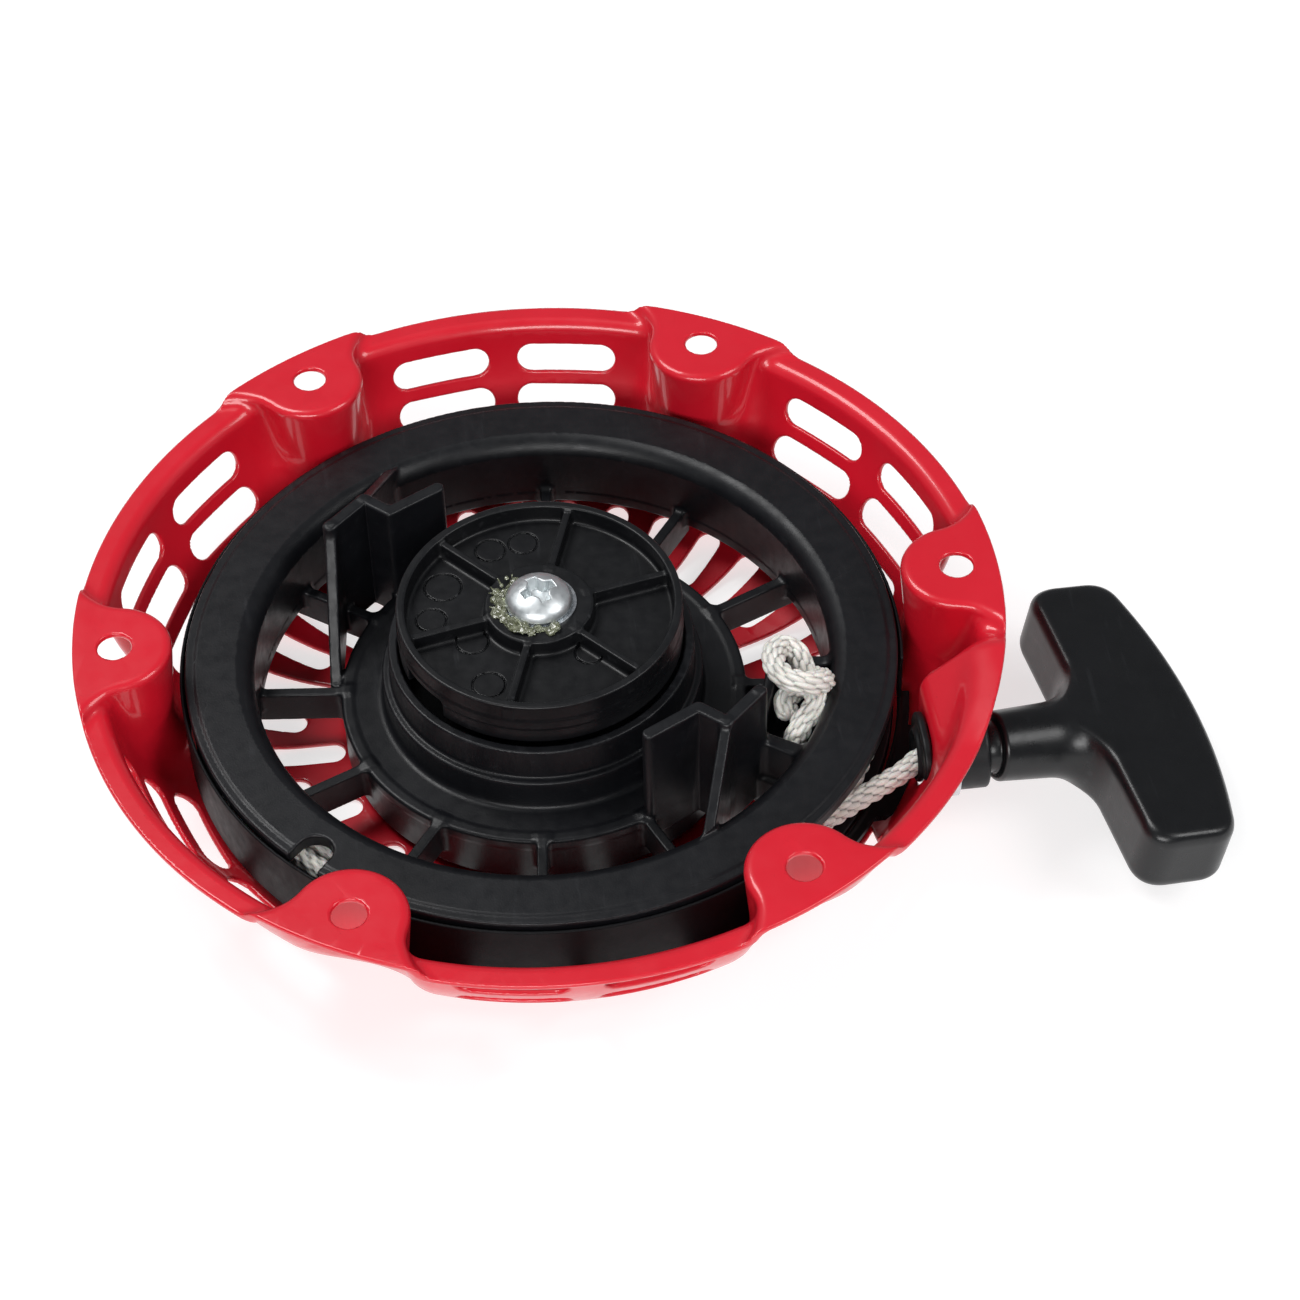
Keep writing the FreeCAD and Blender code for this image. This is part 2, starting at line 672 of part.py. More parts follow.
side_in, in_start, in_end = spiral_side(-0.3)
side_out, out_start, out_end = spiral_side(0.3)
strip_edges = side_in + [Part.LineSegment(in_end, out_end).toShape()]
strip_edges += side_out[::-1] + [Part.LineSegment(out_start, in_start).toShape()]
strip_face = Part.Face(Part.Wire(strip_edges))
strip = strip_face.extrude(FreeCAD.Vector(0, 0, SPRING_HIGH - SPRING_LOW))
hook = Part.makeBox(3.0, 0.7, SPRING_HIGH - SPRING_LOW, FreeCAD.Vector(7.7, -0.05, SPRING_LOW))
spring = doc.addObject("Part::Feature", "recoil_spring_strip")
spring.Shape = strip.fuse(hook).removeSplitter()
name_it(spring, "recoil_spring")

spring_end = SPRING_IN + SPRING_STEP * (SPRING_HALF_TURNS - 1)
spring_pin = cylinder("spring_pin_rod", "1.1", "hub_top - hub_plate - 8.6", "hub_top - hub_plate",
                      "-%.2f" % spring_end, "-1.35")
name_it(spring_pin, "spring_pin")

# ---------------------------------------------------------------- retaining disc and friction spring
skirt = turned("disc_cup", [
    (4.8, size("disc_floor") - 2.0),
    (size("disc_r") - size("disc_wall"), size("disc_floor") - 2.0),
    (size("disc_r") - size("disc_wall"), size("disc_low")),
    (size("disc_r"), size("disc_low")),
    (size("disc_r"), size("disc_top")),
    (size("disc_r") - 0.5, size("disc_top") + 0.5),
    (size("disc_r") - 1.6, size("disc_top") + 0.5),
    (size("disc_r") - size("disc_wall") - 0.2, size("disc_top") - 0.1),
    (size("disc_r") - size("disc_wall") - 0.2, size("disc_floor")),
    (size("boss_r") + 0.3, size("disc_floor")),
    (size("boss_r"), size("disc_top")),
    (4.8, size("disc_top")),
])
ribs = padded("disc_ribs", [(10.0, -0.8), (27.6, -0.8), (27.6, 0.8), (10.0, 0.8)],
              size("disc_floor") - 0.5, size("disc_top") - 0.4)
repeat(ribs, "disc_ribs_ring", "ear_count")
ribs.Placement = FreeCAD.Placement(FreeCAD.Vector(), FreeCAD.Rotation(FreeCAD.Vector(0, 0, 1), 12))
window = box("disc_window", "25", "-6", "disc_low - 1", "8", "12", "5.6", -150)
disc = cut("disc", fuse("disc_solid", [skirt, ribs]), [window])
name_it(disc, "retaining_disc")

split_ring = doc.addObject("Part::Torus", "friction_ring")
split_ring.Radius1 = 12.6
split_ring.Radius2 = 0.7
split_ring.Angle3 = 325
bind(split_ring, "Placement.Base.z", "hub_top + 2.2 + 0.75")
name_it(split_ring, "friction_spring")

# ---------------------------------------------------------------- rope
# the wound rope is one ring of its outer shape, with the end that leaves it at a tangent
guide_point = (size("guide_wall_x") + 1.4, size("rope_y"))
reach = math.hypot(guide_point[0], guide_point[1])
coil_out = size("coil_out_r")
TANGENT_DEG = math.degrees(math.atan2(guide_point[1], guide_point[0]) - math.acos(coil_out / reach))
HIGH_ROW = size("groove_top") - 3.0
LOW_ROW = size("groove_low") + 3.0
coil_inner = size("coil_in_r") - size("rope_r")
coil_outer = coil_out + size("rope_r")
coil_low = LOW_ROW - size("rope_r")
coil_high = HIGH_ROW + size("rope_r")
wound = turned("rope_wound", [
    (coil_outer - 1.6, coil_low),
    (coil_outer, coil_low + 1.6, (coil_outer - 0.47, coil_low + 0.47)),
    (coil_outer, coil_high - 1.6),
    (coil_outer - 1.6, coil_high, (coil_outer - 0.47, coil_high - 0.47)),
    (coil_inner + 1.6, coil_high),
    (coil_inner, coil_high - 1.6, (coil_inner + 0.47, coil_high - 0.47)),
    (coil_inner, coil_low + 1.6),
    (coil_inner + 1.6, coil_low, (coil_inner + 0.47, coil_low + 0.47)),
])
tangent_x, tangent_y = polar(coil_out, TANGENT_DEG)
tangent = FreeCAD.Vector(tangent_x, tangent_y, HIGH_ROW)
goal = FreeCAD.Vector(guide_point[0], guide_point[1], size("rope_z"))
along_rope = goal - tangent


def along(share):
    return tangent + along_rope * share


LEAVE_SHARE = 0.36
tail = doc.addObject("Part::Cylinder", "rope_tail")
bind(tail, "Radius", "rope_r")
tail.Height = along_rope.Length * LEAVE_SHARE
tail.Placement = FreeCAD.Placement(tangent, FreeCAD.Rotation(FreeCAD.Vector(0, 0, 1), along_rope))
RUN_SHARE = 0.38
run_room = doc.addObject("Part::Cylinder", "run_room")
run_room.Radius = size("rope_r") + 0.05
run_room.Height = along_rope.Length * 0.24
run_room.Placement = FreeCAD.Placement(along(RUN_SHARE - 0.01),
                                       FreeCAD.Rotation(FreeCAD.Vector(0, 0, 1), along_rope))
name_it(cut("rope_coil_cut", fuse("rope_coil_solid", [wound, tail]), [run_room]), "rope_coil")

run_points = [along(RUN_SHARE), goal, FreeCAD.Vector(size("guide_end") - 4.0, size("rope_y"), size("rope_z"))]
name_it(rope_along("rope_run_sweep", run_points, size("rope_r")), "rope_run")

# the grip hangs loosely: its stem leaves the guide's axis by the yaw and the droop
GRIP_SPOT = FreeCAD.Vector(size("guide_end") + 1.7, size("rope_y"), size("rope_z"))
GRIP_PLACE = FreeCAD.Placement(GRIP_SPOT, FreeCAD.Rotation(size("grip_yaw"), size("grip_droop"), 0))


def on_grip(u, v=0.0, w=0.0):
    """Point given along the grip's stem, across it and above it."""
    return GRIP_PLACE.multVec(FreeCAD.Vector(u, v, w))


lead_points = [FreeCAD.Vector(size("guide_end") - 3.6, size("rope_y"), size("rope_z")),
               FreeCAD.Vector(size("guide_end") + 1.0, size("rope_y"), size("rope_z")),
               on_grip(25.0)]
name_it(rope_along("rope_lead_sweep", lead_points, size("rope_r")), "rope_lead")

# knots: two crossed loops of rope
knot_c = polar(52.4, -19.0)


def knot_shape(label, radius, thick, tilts):
    loops = []
    for index, (axis, degrees, shift) in enumerate(tilts):
        loop = doc.addObject("Part::Torus", "%s_loop_%d" % (label, index))
        loop.Radius1 = radius
        loop.Radius2 = thick
        tilt = FreeCAD.Rotation(FreeCAD.Vector(*axis), degrees)
        loop.Placement = FreeCAD.Placement(FreeCAD.Vector(*shift), tilt)
        loops.append(loop)
    return fuse(label, loops)


KNOT_TILTS = [((1, 0, 0), 24, (0, 2.0, 1.2)),
              ((0, 1, 0), 58, (1.0, -2.4, -0.6))]
knot = knot_shape("rope_knot_solid", 3.3, 2.0, KNOT_TILTS)
knot.Placement = FreeCAD.Placement(FreeCAD.Vector(knot_c[0], knot_c[1], -13.2),
                                   FreeCAD.Rotation(FreeCAD.Vector(0, 0, 1), -19))
name_it(knot, "rope_knot")

# ---------------------------------------------------------------- rope guide in the wall
guide_slab = box("guide_slab", "guide_wall_x - 2.8", "rope_y - 10.5", "rope_z - 8.5", "2.5", "21", "17")
guide_plate = doc.addObject("Part::Common", "guide_plate")
guide_plate.Base = guide_slab
bowl_room = turned("bowl_room", wall_profile(-0.3, 0, 3.0, False))
guide_plate.Tool = bowl_room
guide_barrel = rod_x("guide_barrel", "6.1", "guide_wall_x - 0.5", "guide_end")
guide_boss = rod_x("guide_boss", "guide_boss_r", "guide_wall_x + steel + 0.3", "guide_end")
guide_bore = rod_x("guide_bore", "guide_bore_r", "60", "95")
guide_mouth = doc.addObject("Part::Cone", "guide_mouth")
mouth_spot = FreeCAD.Vector(size("guide_wall_x") - 2.9, size("rope_y"), size("rope_z"))
guide_mouth.Placement = FreeCAD.Placement(mouth_spot, FreeCAD.Rotation(FreeCAD.Vector(0, 1, 0), 90))
guide_mouth.Radius1 = 5.6
guide_mouth.Radius2 = 2.7
guide_mouth.Height = 5.0
groove_disc = rod_x("groove_disc", "12", "guide_wall_x + steel + 2.8", "guide_wall_x + steel + 4.2")
clip_groove = cut("clip_groove", groove_disc, [rod_x("groove_core", "guide_boss_r - 1.2", "60", "95")])
guide_cup = doc.addObject("Part::Sphere", "guide_cup")
bind(guide_cup, "Radius", "nose_r + 0.3")
bind(guide_cup, "Placement.Base.x", "guide_end + 1.7")
bind(guide_cup, "Placement.Base.y", "rope_y")
bind(guide_cup, "Placement.Base.z", "rope_z")
guide = cut("guide", fuse("guide_solid", [guide_plate, guide_barrel, guide_boss]),
            [guide_bore, guide_mouth, guide_cup, clip_groove])
name_it(guide, "rope_guide")

# guard ring round the reel, with the shelf that carries it past the guide
shroud_ring = turned("shroud_ring", [
    (size("shroud_in"), size("shroud_low")),
    (size("shroud_in") + size("shroud_wall"), size("shroud_low")),
    (size("shroud_in") + size("shroud_wall"), size("shroud_top")),
    (size("shroud_in"), size("shroud_top")),
])
shroud_gap = padded("shroud_gap", [polar(60.0, -52.0), polar(92.0, -52.0), polar(92.0, -10.0),
                                   polar(60.0, -10.0)], -24.6, 0.0)
shelf_outline = padded("shelf_outline", [polar(73.3, -54.0), polar(75.8, -54.0), polar(75.8, -44.0),
                                         (74.2, -43.0), (74.2, -20.0), polar(75.6, -13.0),
                                         polar(75.6, -8.0), polar(73.3, -8.0)], -26.6, -24.9)
shelf_core = cylinder("shelf_core", "shroud_in", "-30", "-20")
shelf = doc.addObject("Part::Common", "shelf")
shelf.Base = cut("shelf_plate", shelf_outline, [shelf_core])
shelf.Tool = bowl_room
shroud = cut("shroud", shroud_ring, [shroud_gap])
name_it(cut("shroud_cut", fuse("shroud_solid", [shroud, shelf]), [guide_slab]), "reel_shroud")

clip = cut("clip", rod_x("clip_disc", "9.1", "guide_wall_x + steel + 3.0", "guide_wall_x + steel + 4.0"),
           [rod_x("clip_hole", "guide_boss_r - 0.9", "60", "95"),
            box("clip_gap", "guide_wall_x", "rope_y - 3", "rope_z - 12", "8", "6", "10")])
name_it(clip, "guide_clip")

# ---------------------------------------------------------------- pull grip
BAR_IN = 20.0
BAR_HALF = 36.0
grip_plan = [(BAR_IN, -32.5), (23.5, -BAR_HALF, (21.0, -35.0)),
             (35.1, -BAR_HALF), (37.4, -33.4, (36.8, -35.3)),
             (37.4, 33.4, (42.4, 0.0)),
             (35.1, BAR_HALF, (36.8, 35.3)),
             (23.5, BAR_HALF), (BAR_IN, 32.5, (21.0, 35.0))]
grip_bar = padded("grip_bar", grip_plan, -size("grip_half"), size("grip_half"))
bar_trim = new_body("bar_trim")
trim_sketch = new_sketch(bar_trim, "XZ_Plane", "bar_trim_side")
half = size("grip_half")
outline(trim_sketch, [(23.0, -half, (20.9, 0.9 - half)), (40.0, -half),
                      (43.0, 3.0 - half, (42.1, 0.9 - half)),
                      (43.0, half - 3.0), (40.0, half, (42.1, half - 0.9)), (23.0, half),
                      (BAR_IN, half - 3.0, (20.9, half - 0.9)), (BAR_IN, 3.0 - half)])
trim_pad = bar_trim.newObject("PartDesign::Pad", "bar_trim_pad")
trim_pad.Profile = trim_sketch
trim_pad.Length = 80.0
trim_pad.Midplane = True
bar_trim.Tip = trim_pad
grip_stem = turned("grip_stem", [(0, 0), (size("stem_r") - 0.8, 0), (size("stem_r"), 0.8),
                                 (7.9, 17.0), (10.0, 22.0), (0, 22.0)])
grip_stem.Placement = FreeCAD.Placement(FreeCAD.Vector(), FreeCAD.Rotation(FreeCAD.Vector(0, 1, 0), 90))
grip_nose = doc.addObject("Part::Sphere", "grip_nose")
bind(grip_nose, "Radius", "nose_r")
bore_r = size("rope_r") + 0.45
grip_bore = turned("grip_bore", [(0, -7), (4.6, -7), (bore_r, 0.5), (bore_r, 23.5), (6.2, 23.5),
                                 (6.2, 37.6), (0, 37.6)])
grip_bore.Placement = FreeCAD.Placement(FreeCAD.Vector(), FreeCAD.Rotation(FreeCAD.Vector(0, 1, 0), 90))
bar_rounded = doc.addObject("Part::Common", "grip_bar_rounded")
bar_rounded.Base = grip_bar
bar_rounded.Tool = bar_trim
grip = cut("grip_cut", fuse("grip_solid", [bar_rounded, grip_stem, grip_nose]), [grip_bore])
grip.Placement = GRIP_PLACE
name_it(grip, "grip")
grip_washer = turned("grip_washer_turn", [(size("rope_r") + 0.2, 23.8), (5.9, 23.8), (5.9, 25.0),
                                          (size("rope_r") + 0.2, 25.0)])
grip_washer.Placement = GRIP_PLACE.multiply(
    FreeCAD.Placement(FreeCAD.Vector(), FreeCAD.Rotation(FreeCAD.Vector(0, 1, 0), 90)))
name_it(grip_washer, "grip_washer")

grip_knot = knot_shape("grip_knot_solid", 2.6, 1.9, [((0, 1, 0), 62, (0, 0, 0)),
                                                     ((1, 0, 0), 66, (1.2, 0, 0))])
grip_knot.Placement = GRIP_PLACE.multiply(FreeCAD.Placement(FreeCAD.Vector(30.2, 0, 0), FreeCAD.Rotation()))
name_it(grip_knot, "grip_knot")

# ---------------------------------------------------------------- check and write
doc.recompute()
for obj in doc.Objects:
    if "Invalid" in obj.State or "Error" in obj.State:
        raise RuntimeError("%s did not recompute: %s" % (obj.Name, obj.State))
os.makedirs("parts", exist_ok=True)
for obj in NODES:
    shape = obj.Shape
    if shape.isNull() or not shape.isValid():
        raise RuntimeError("%s has no valid shape" % obj.Label)
    shape.exportStep("parts/%s.step" % obj.Label)
    print("%-18s solids %d  volume %9.1f  box %s"
          % (obj.Label, len(shape.Solids), shape.Volume, shape.BoundBox))
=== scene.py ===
import math

import bpy
import numpy as np
from mathutils import Matrix, Vector


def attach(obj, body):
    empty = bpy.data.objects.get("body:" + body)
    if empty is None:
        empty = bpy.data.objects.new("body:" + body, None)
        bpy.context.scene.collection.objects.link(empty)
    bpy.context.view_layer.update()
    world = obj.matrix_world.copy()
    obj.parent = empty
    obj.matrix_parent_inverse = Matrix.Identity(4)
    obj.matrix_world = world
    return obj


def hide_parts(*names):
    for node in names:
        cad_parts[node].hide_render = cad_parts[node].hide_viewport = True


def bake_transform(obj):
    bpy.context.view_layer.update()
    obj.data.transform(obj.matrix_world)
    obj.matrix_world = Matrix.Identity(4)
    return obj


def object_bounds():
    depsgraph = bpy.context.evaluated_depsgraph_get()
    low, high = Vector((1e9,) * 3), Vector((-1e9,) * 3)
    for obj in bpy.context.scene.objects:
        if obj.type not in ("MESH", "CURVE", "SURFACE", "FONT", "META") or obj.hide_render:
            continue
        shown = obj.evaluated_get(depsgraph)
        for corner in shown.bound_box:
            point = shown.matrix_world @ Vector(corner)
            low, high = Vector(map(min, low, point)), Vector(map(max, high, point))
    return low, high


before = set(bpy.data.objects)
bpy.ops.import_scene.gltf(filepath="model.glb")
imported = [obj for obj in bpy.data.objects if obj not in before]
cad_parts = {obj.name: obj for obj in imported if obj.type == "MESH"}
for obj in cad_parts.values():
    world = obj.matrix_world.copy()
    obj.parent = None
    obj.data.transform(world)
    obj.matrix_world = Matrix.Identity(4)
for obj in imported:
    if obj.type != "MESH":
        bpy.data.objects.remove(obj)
cad_low, cad_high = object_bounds()
MM = 0.001

# ------------------------------------------------------------------ sizes, millimetres, in the part's frame
STEEL = 1.2
FACE_Z = -38.3
FACE_FLAT_R = 51.0
RIM_R = 94.0
ROPE_R = 2.3
ROPE_Y = -33.0
ROPE_Z = -19.3
GUIDE_X = 74.5                    # inner face of the housing's pocket, where the rope goes through
GUIDE_END = 86.0
GRIP_YAW = 9.0
GRIP_DROOP = 9.0
NOSE_R = 5.2                      # ball end of the grip
GRIP_HALF = 8.0
EAR_COUNT = 6
EAR_HOLE_R = 3.4
SLOT_LEN, SLOT_W, SLOT_TURN = 21.7, 6.5, 9.25
WALL_ROWS = ((88.0, -11.6, 72.0), (83.6, -20.3, 59.5), (77.3, -28.0, 47.0))    # radius, height, slope
FACE_SLOT_COUNT, FACE_SLOT_W, FACE_SLOT_OUT = 18, 5.2, 66.0
FACE_SLOTS = ((0.0, 42.4), (10.0, 50.8))                                       # turn, inner end
RING_IN, RING_CORE, RING_OUT = 58.9, 61.3, 72.8
RING_TOP, RING_LOW = -10.9, -28.2
GROOVE_TOP, GROOVE_LOW = -14.2, -25.6
HUB_R, HUB_SKIRT, HUB_TOP = 41.8, 39.4, -24.4
DRUM_R, DRUM_STEP_R, DRUM_IN = 33.0, 31.3, 29.3
REEL_BORE = 6.56
BOSS_R = 9.6
DISC_R, DISC_WALL, DISC_BORE = 29.0, 27.2, 4.8
DISC_FLOOR = -3.0
HEAD_R, HEAD_SEAT, SHANK_R = 7.0, 1.0, 3.0
SHROUD_R = 73.6
SHROUD_TOP, SHROUD_LOW = -12.6, -28.0
COIL_IN, COIL_OUT = 63.8, 68.5
HIGH_ROW, LOW_ROW = -17.2, -22.6
BRAID_COLUMNS = 10
STRAND_PITCH, STRAND_HALF_LEN, STRAND_HALF_W = 3.3, 1.80, 0.80


# ------------------------------------------------------------------ fields: negative inside, millimetres
def smax(a, b, k):
    """Larger of two fields, rounded over a width k."""
    h = np.maximum(k - np.abs(a - b), 0.0) / k
    return np.maximum(a, b) + h * h * k * 0.25


def smin(a, b, k):
    """Smaller of two fields, rounded over a width k."""
    return -smax(-a, -b, k)


def slab(v, low, high):
    """Layer between two levels."""
    return np.maximum(low - v, v - high)


def box2(u, v, half_u, half_v, r=0.0):
    """Rounded rectangle about the origin."""
    qu = np.abs(u) - (half_u - r)
    qv = np.abs(v) - (half_v - r)
    outside = np.sqrt(np.maximum(qu, 0) ** 2 + np.maximum(qv, 0) ** 2)
    return outside + np.minimum(np.maximum(qu, qv), 0) - r


def rect(u, v, low_u, high_u, low_v, high_v, r=0.0):
    return box2(u - (low_u + high_u) / 2, v - (low_v + high_v) / 2,
                (high_u - low_u) / 2, (high_v - low_v) / 2, r)


def prism(d2, d1, r):
    """Rounded solid whose outline is d2 and whose height is d1."""
    qa, qb = d2 + r, d1 + r
    outside = np.sqrt(np.maximum(qa, 0) ** 2 + np.maximum(qb, 0) ** 2)
    return outside + np.minimum(np.maximum(qa, qb), 0) - r


def obround(u, v, length, width):
    """Slot outline with round ends, along u."""
    du = np.maximum(np.abs(u) - (length - width) / 2, 0)
    return np.sqrt(du * du + v * v) - width / 2


def segment(x, y, a, b):
    """Distance to a plan segment and the share of the way along it."""
    dx, dy = b[0] - a[0], b[1] - a[1]
    t = np.clip(((x - a[0]) * dx + (y - a[1]) * dy) / (dx * dx + dy * dy), 0, 1)
    return np.hypot(x - a[0] - t * dx, y - a[1] - t * dy), t


def fold(x, y, count, turn_deg=0.0):
    """Position in the nearest of count equal sectors, as x' outwards and y' across."""
    step = 2 * math.pi / count
    angle = np.arctan2(y, x) - math.radians(turn_deg)
    angle = angle - step * np.round(angle / step)
    r = np.hypot(x, y)
    return r * np.cos(angle), r * np.sin(angle)


def sector(r, angle, low_deg, high_deg):
    """Wedge of the plan between two directions."""
    radians = np.pi / 180.0
    return np.maximum((high_deg - angle) * -radians * r, (low_deg - angle) * radians * r)


def polar(radius, degrees):
    return radius * math.cos(math.radians(degrees)), radius * math.sin(math.radians(degrees))


# ------------------------------------------------------------------ field to mesh
BATCH = 150000


def sample(field, points):
    """Field values at many points, a batch at a time."""
    out = np.empty(len(points), points.dtype)
    for start in range(0, len(points), BATCH):
        part = points[start:start + BATCH]
        out[start:start + BATCH] = field(part[:, 0], part[:, 1], part[:, 2])
    return out


def surface_net(field, low, high, step):
    """Closed quad mesh of the field's zero level."""
    block = 4
    low = np.asarray(low, float)
    blocks = np.ceil((np.asarray(high, float) - low) / (step * block)).astype(int) + 1
    centres = [low[i] + step * block * (np.arange(blocks[i]) + 0.5) for i in range(3)]
    grid = np.stack(np.meshgrid(*centres, indexing="ij"), -1).reshape(-1, 3).astype(np.float32)
    coarse = sample(field, grid).reshape(blocks)
    active = np.abs(coarse) < step * (block * 0.866 + 1.0) * 1.35
    values = coarse.repeat(block, 0).repeat(block, 1).repeat(block, 2)
    at = np.argwhere(active)
    inner = np.stack(np.meshgrid(*[np.arange(block)] * 3, indexing="ij"), -1).reshape(-1, 3)
    index = (at[:, None, :] * block + inner[None]).reshape(-1, 3)
    points = (low + index * step).astype(np.float32)
    values[index[:, 0], index[:, 1], index[:, 2]] = sample(field, points)
    shape = np.array(values.shape)
    inside = values < 0
    cells, spots, rings, flips = [], [], [], []
    for axis in range(3):
        one, two = (axis + 1) % 3, (axis + 2) % 3
        lower = [slice(1, -1)] * 3
        upper = [slice(1, -1)] * 3
        upper[axis] = slice(2, None)
        crossing = np.argwhere(inside[tuple(lower)] != inside[tuple(upper)]) + 1
        ahead = crossing.copy()
        ahead[:, axis] += 1
        a = values[crossing[:, 0], crossing[:, 1], crossing[:, 2]]
        b = values[ahead[:, 0], ahead[:, 1], ahead[:, 2]]
        spot = crossing.astype(float)
        spot[:, axis] += a / (a - b)
        ring = []
        for d1, d2 in ((0, 0), (-1, 0), (-1, -1), (0, -1)):
            cell = crossing.copy()
            cell[:, one] += d1
            cell[:, two] += d2
            ring.append((cell[:, 0] * shape[1] + cell[:, 1]) * shape[2] + cell[:, 2])
        rings.append(np.stack(ring, 1))
        flips.append(a > 0)
        spots.append(np.repeat(spot[:, None, :], 4, 1).reshape(-1, 3))
        cells.append(rings[-1].reshape(-1))
    cells, spots = np.concatenate(cells), np.concatenate(spots)
    rings, flips = np.concatenate(rings), np.concatenate(flips)
    _, back = np.unique(cells, return_inverse=True)
    count = np.bincount(back)
    verts = np.stack([np.bincount(back, weights=spots[:, i]) / count for i in range(3)], 1)
    quads = back.reshape(-1, 4)
    quads[flips] = quads[flips][:, ::-1]
    return low + verts * step, quads


def slope(field, points, reach):
    """Gradient of the field by central differences."""
    out = np.empty_like(points)
    for axis in range(3):
        shift = np.zeros(3)
        shift[axis] = reach
        out[:, axis] = (sample(field, points + shift) - sample(field, points - shift)) / (2 * reach)
    return out


def settle(field, points, step, rounds=2):
    """Points pulled onto the zero level, with the field's normals there."""
    reach = step * 0.12
    for _ in range(rounds):
        lean = slope(field, points, reach)
        size = np.maximum((lean ** 2).sum(1), 0.05)
        move = np.clip(sample(field, points), -step, step) / size
        points = points - lean * move[:, None]
    lean = slope(field, points, reach)
    return points, lean / np.maximum(np.linalg.norm(lean, axis=1), 1e-6)[:, None]


def fill_mesh(mesh, verts, faces):
    """Put points and faces with equal numbers of corners into an empty mesh."""
    sides = faces.shape[1]
    mesh.vertices.add(len(verts))
    mesh.vertices.foreach_set("co", np.ascontiguousarray(verts, np.float32).ravel())
    mesh.loops.add(faces.size)
    mesh.loops.foreach_set("vertex_index", faces.astype(np.int32).ravel())
    mesh.polygons.add(len(faces))
    mesh.polygons.foreach_set("loop_start", np.arange(0, faces.size, sides, dtype=np.int32))
    mesh.polygons.foreach_set("loop_total", np.full(len(faces), sides, np.int32))
    mesh.update(calc_edges=True)
    mesh.validate()


def new_object(name, mesh):
    """Object in the scene for a mesh."""
    obj = bpy.data.objects.new(name, mesh)
    bpy.context.scene.collection.objects.link(obj)
    return obj


def read_verts(mesh):
    flat = np.empty(len(mesh.vertices) * 3, np.float32)
    mesh.vertices.foreach_get("co", flat)
    return flat.reshape(-1, 3).astype(float)


def place_settled(obj, spots, normals):
    """Give the object its settled points, and wind faces that turned over on the way the right way again."""
    mesh = obj.data
    corners = np.empty(len(mesh.loops), np.int32)
    mesh.loops.foreach_get("vertex_index", corners)
    faces = corners.reshape(len(mesh.polygons), -1)
    facing = np.cross(spots[faces[:, 1]] - spots[faces[:, 0]], spots[faces[:, 2]] - spots[faces[:, 0]])
    turned = (facing * normals[faces].sum(1)).sum(1) < 0
    faces[turned] = faces[turned][:, ::-1]
    made = bpy.data.meshes.new(obj.name + "_settled")
    fill_mesh(made, spots * MM, faces)
    obj.data = made
    bpy.data.meshes.remove(mesh)
    made.name = obj.name
    return made


def modelled(name, field, low, high, step, most):
    """Object of a field's surface with at most `most` triangles, shaded with the field's own normals."""
    verts, quads = surface_net(field, low, high, step)
    verts, _ = settle(field, verts, step, 1)
    mesh = bpy.data.meshes.new(name)
    fill_mesh(mesh, verts * MM, quads)
    obj = new_object(name, mesh)
    if 2 * len(quads) > most:
        thin = obj.modifiers.new("thin", "DECIMATE")
        thin.ratio = most / (2.0 * len(quads))
        thin.use_collapse_triangulate = True
        bpy.context.view_layer.update()
        done = bpy.data.meshes.new_from_object(obj.evaluated_get(bpy.context.evaluated_depsgraph_get()))
        obj.modifiers.clear()
        obj.data = done
        bpy.data.meshes.remove(mesh)
        mesh = done
        mesh.name = name
    spots, normals = settle(field, read_verts(mesh) / MM, step, 2)
    mesh = place_settled(obj, spots, normals)
    mesh.shade_smooth()
    mesh.normals_split_custom_set_from_vertices(normals.tolist())
    return obj


# ------------------------------------------------------------------ pressed housing
LOW_R, HIGH_R, BEND_R = 37.0, 40.0, 2.8
LOW_END, HIGH_END = math.radians(53.0), math.radians(82.1)
LOW_C = (FACE_FLAT_R, FACE_Z + LOW_R)
MEET = (LOW_C[0] + LOW_R * math.sin(LOW_END), LOW_C[1] - LOW_R * math.cos(LOW_END))
HIGH_C = (MEET[0] - HIGH_R * math.sin(LOW_END), MEET[1] + HIGH_R * math.cos(LOW_END))
TOP_IN = (HIGH_C[0] + HIGH_R * math.sin(HIGH_END), HIGH_C[1] - HIGH_R * math.cos(HIGH_END))
BEND_C = (TOP_IN[0] + BEND_R * math.sin(HIGH_END), TOP_IN[1] - BEND_R * math.cos(HIGH_END))
RIM_TOP = BEND_C[1] + BEND_R

EAR_HOLE, EAR_TIP, EAR_FLARE = 85.5, 11.5, 12.0
EAR_CORNER = polar(93.5, 10.7)


def flare_centre():
    """Centre of the concave arc from an ear's tip to its corner at the rim."""
    gap = EAR_TIP + EAR_FLARE
    dx, dy = EAR_CORNER[0] - EAR_HOLE, EAR_CORNER[1]
    span = math.hypot(dx, dy)
    run = (gap ** 2 - EAR_FLARE ** 2 + span ** 2) / (2 * span)
    side = math.sqrt(gap ** 2 - run ** 2)
    return EAR_HOLE + (dx * run - dy * side) / span, (dy * run + dx * side) / span


FLARE = flare_centre()
FLARE_END = math.atan2(EAR_CORNER[1] - FLARE[1], EAR_CORNER[0] - FLARE[0])


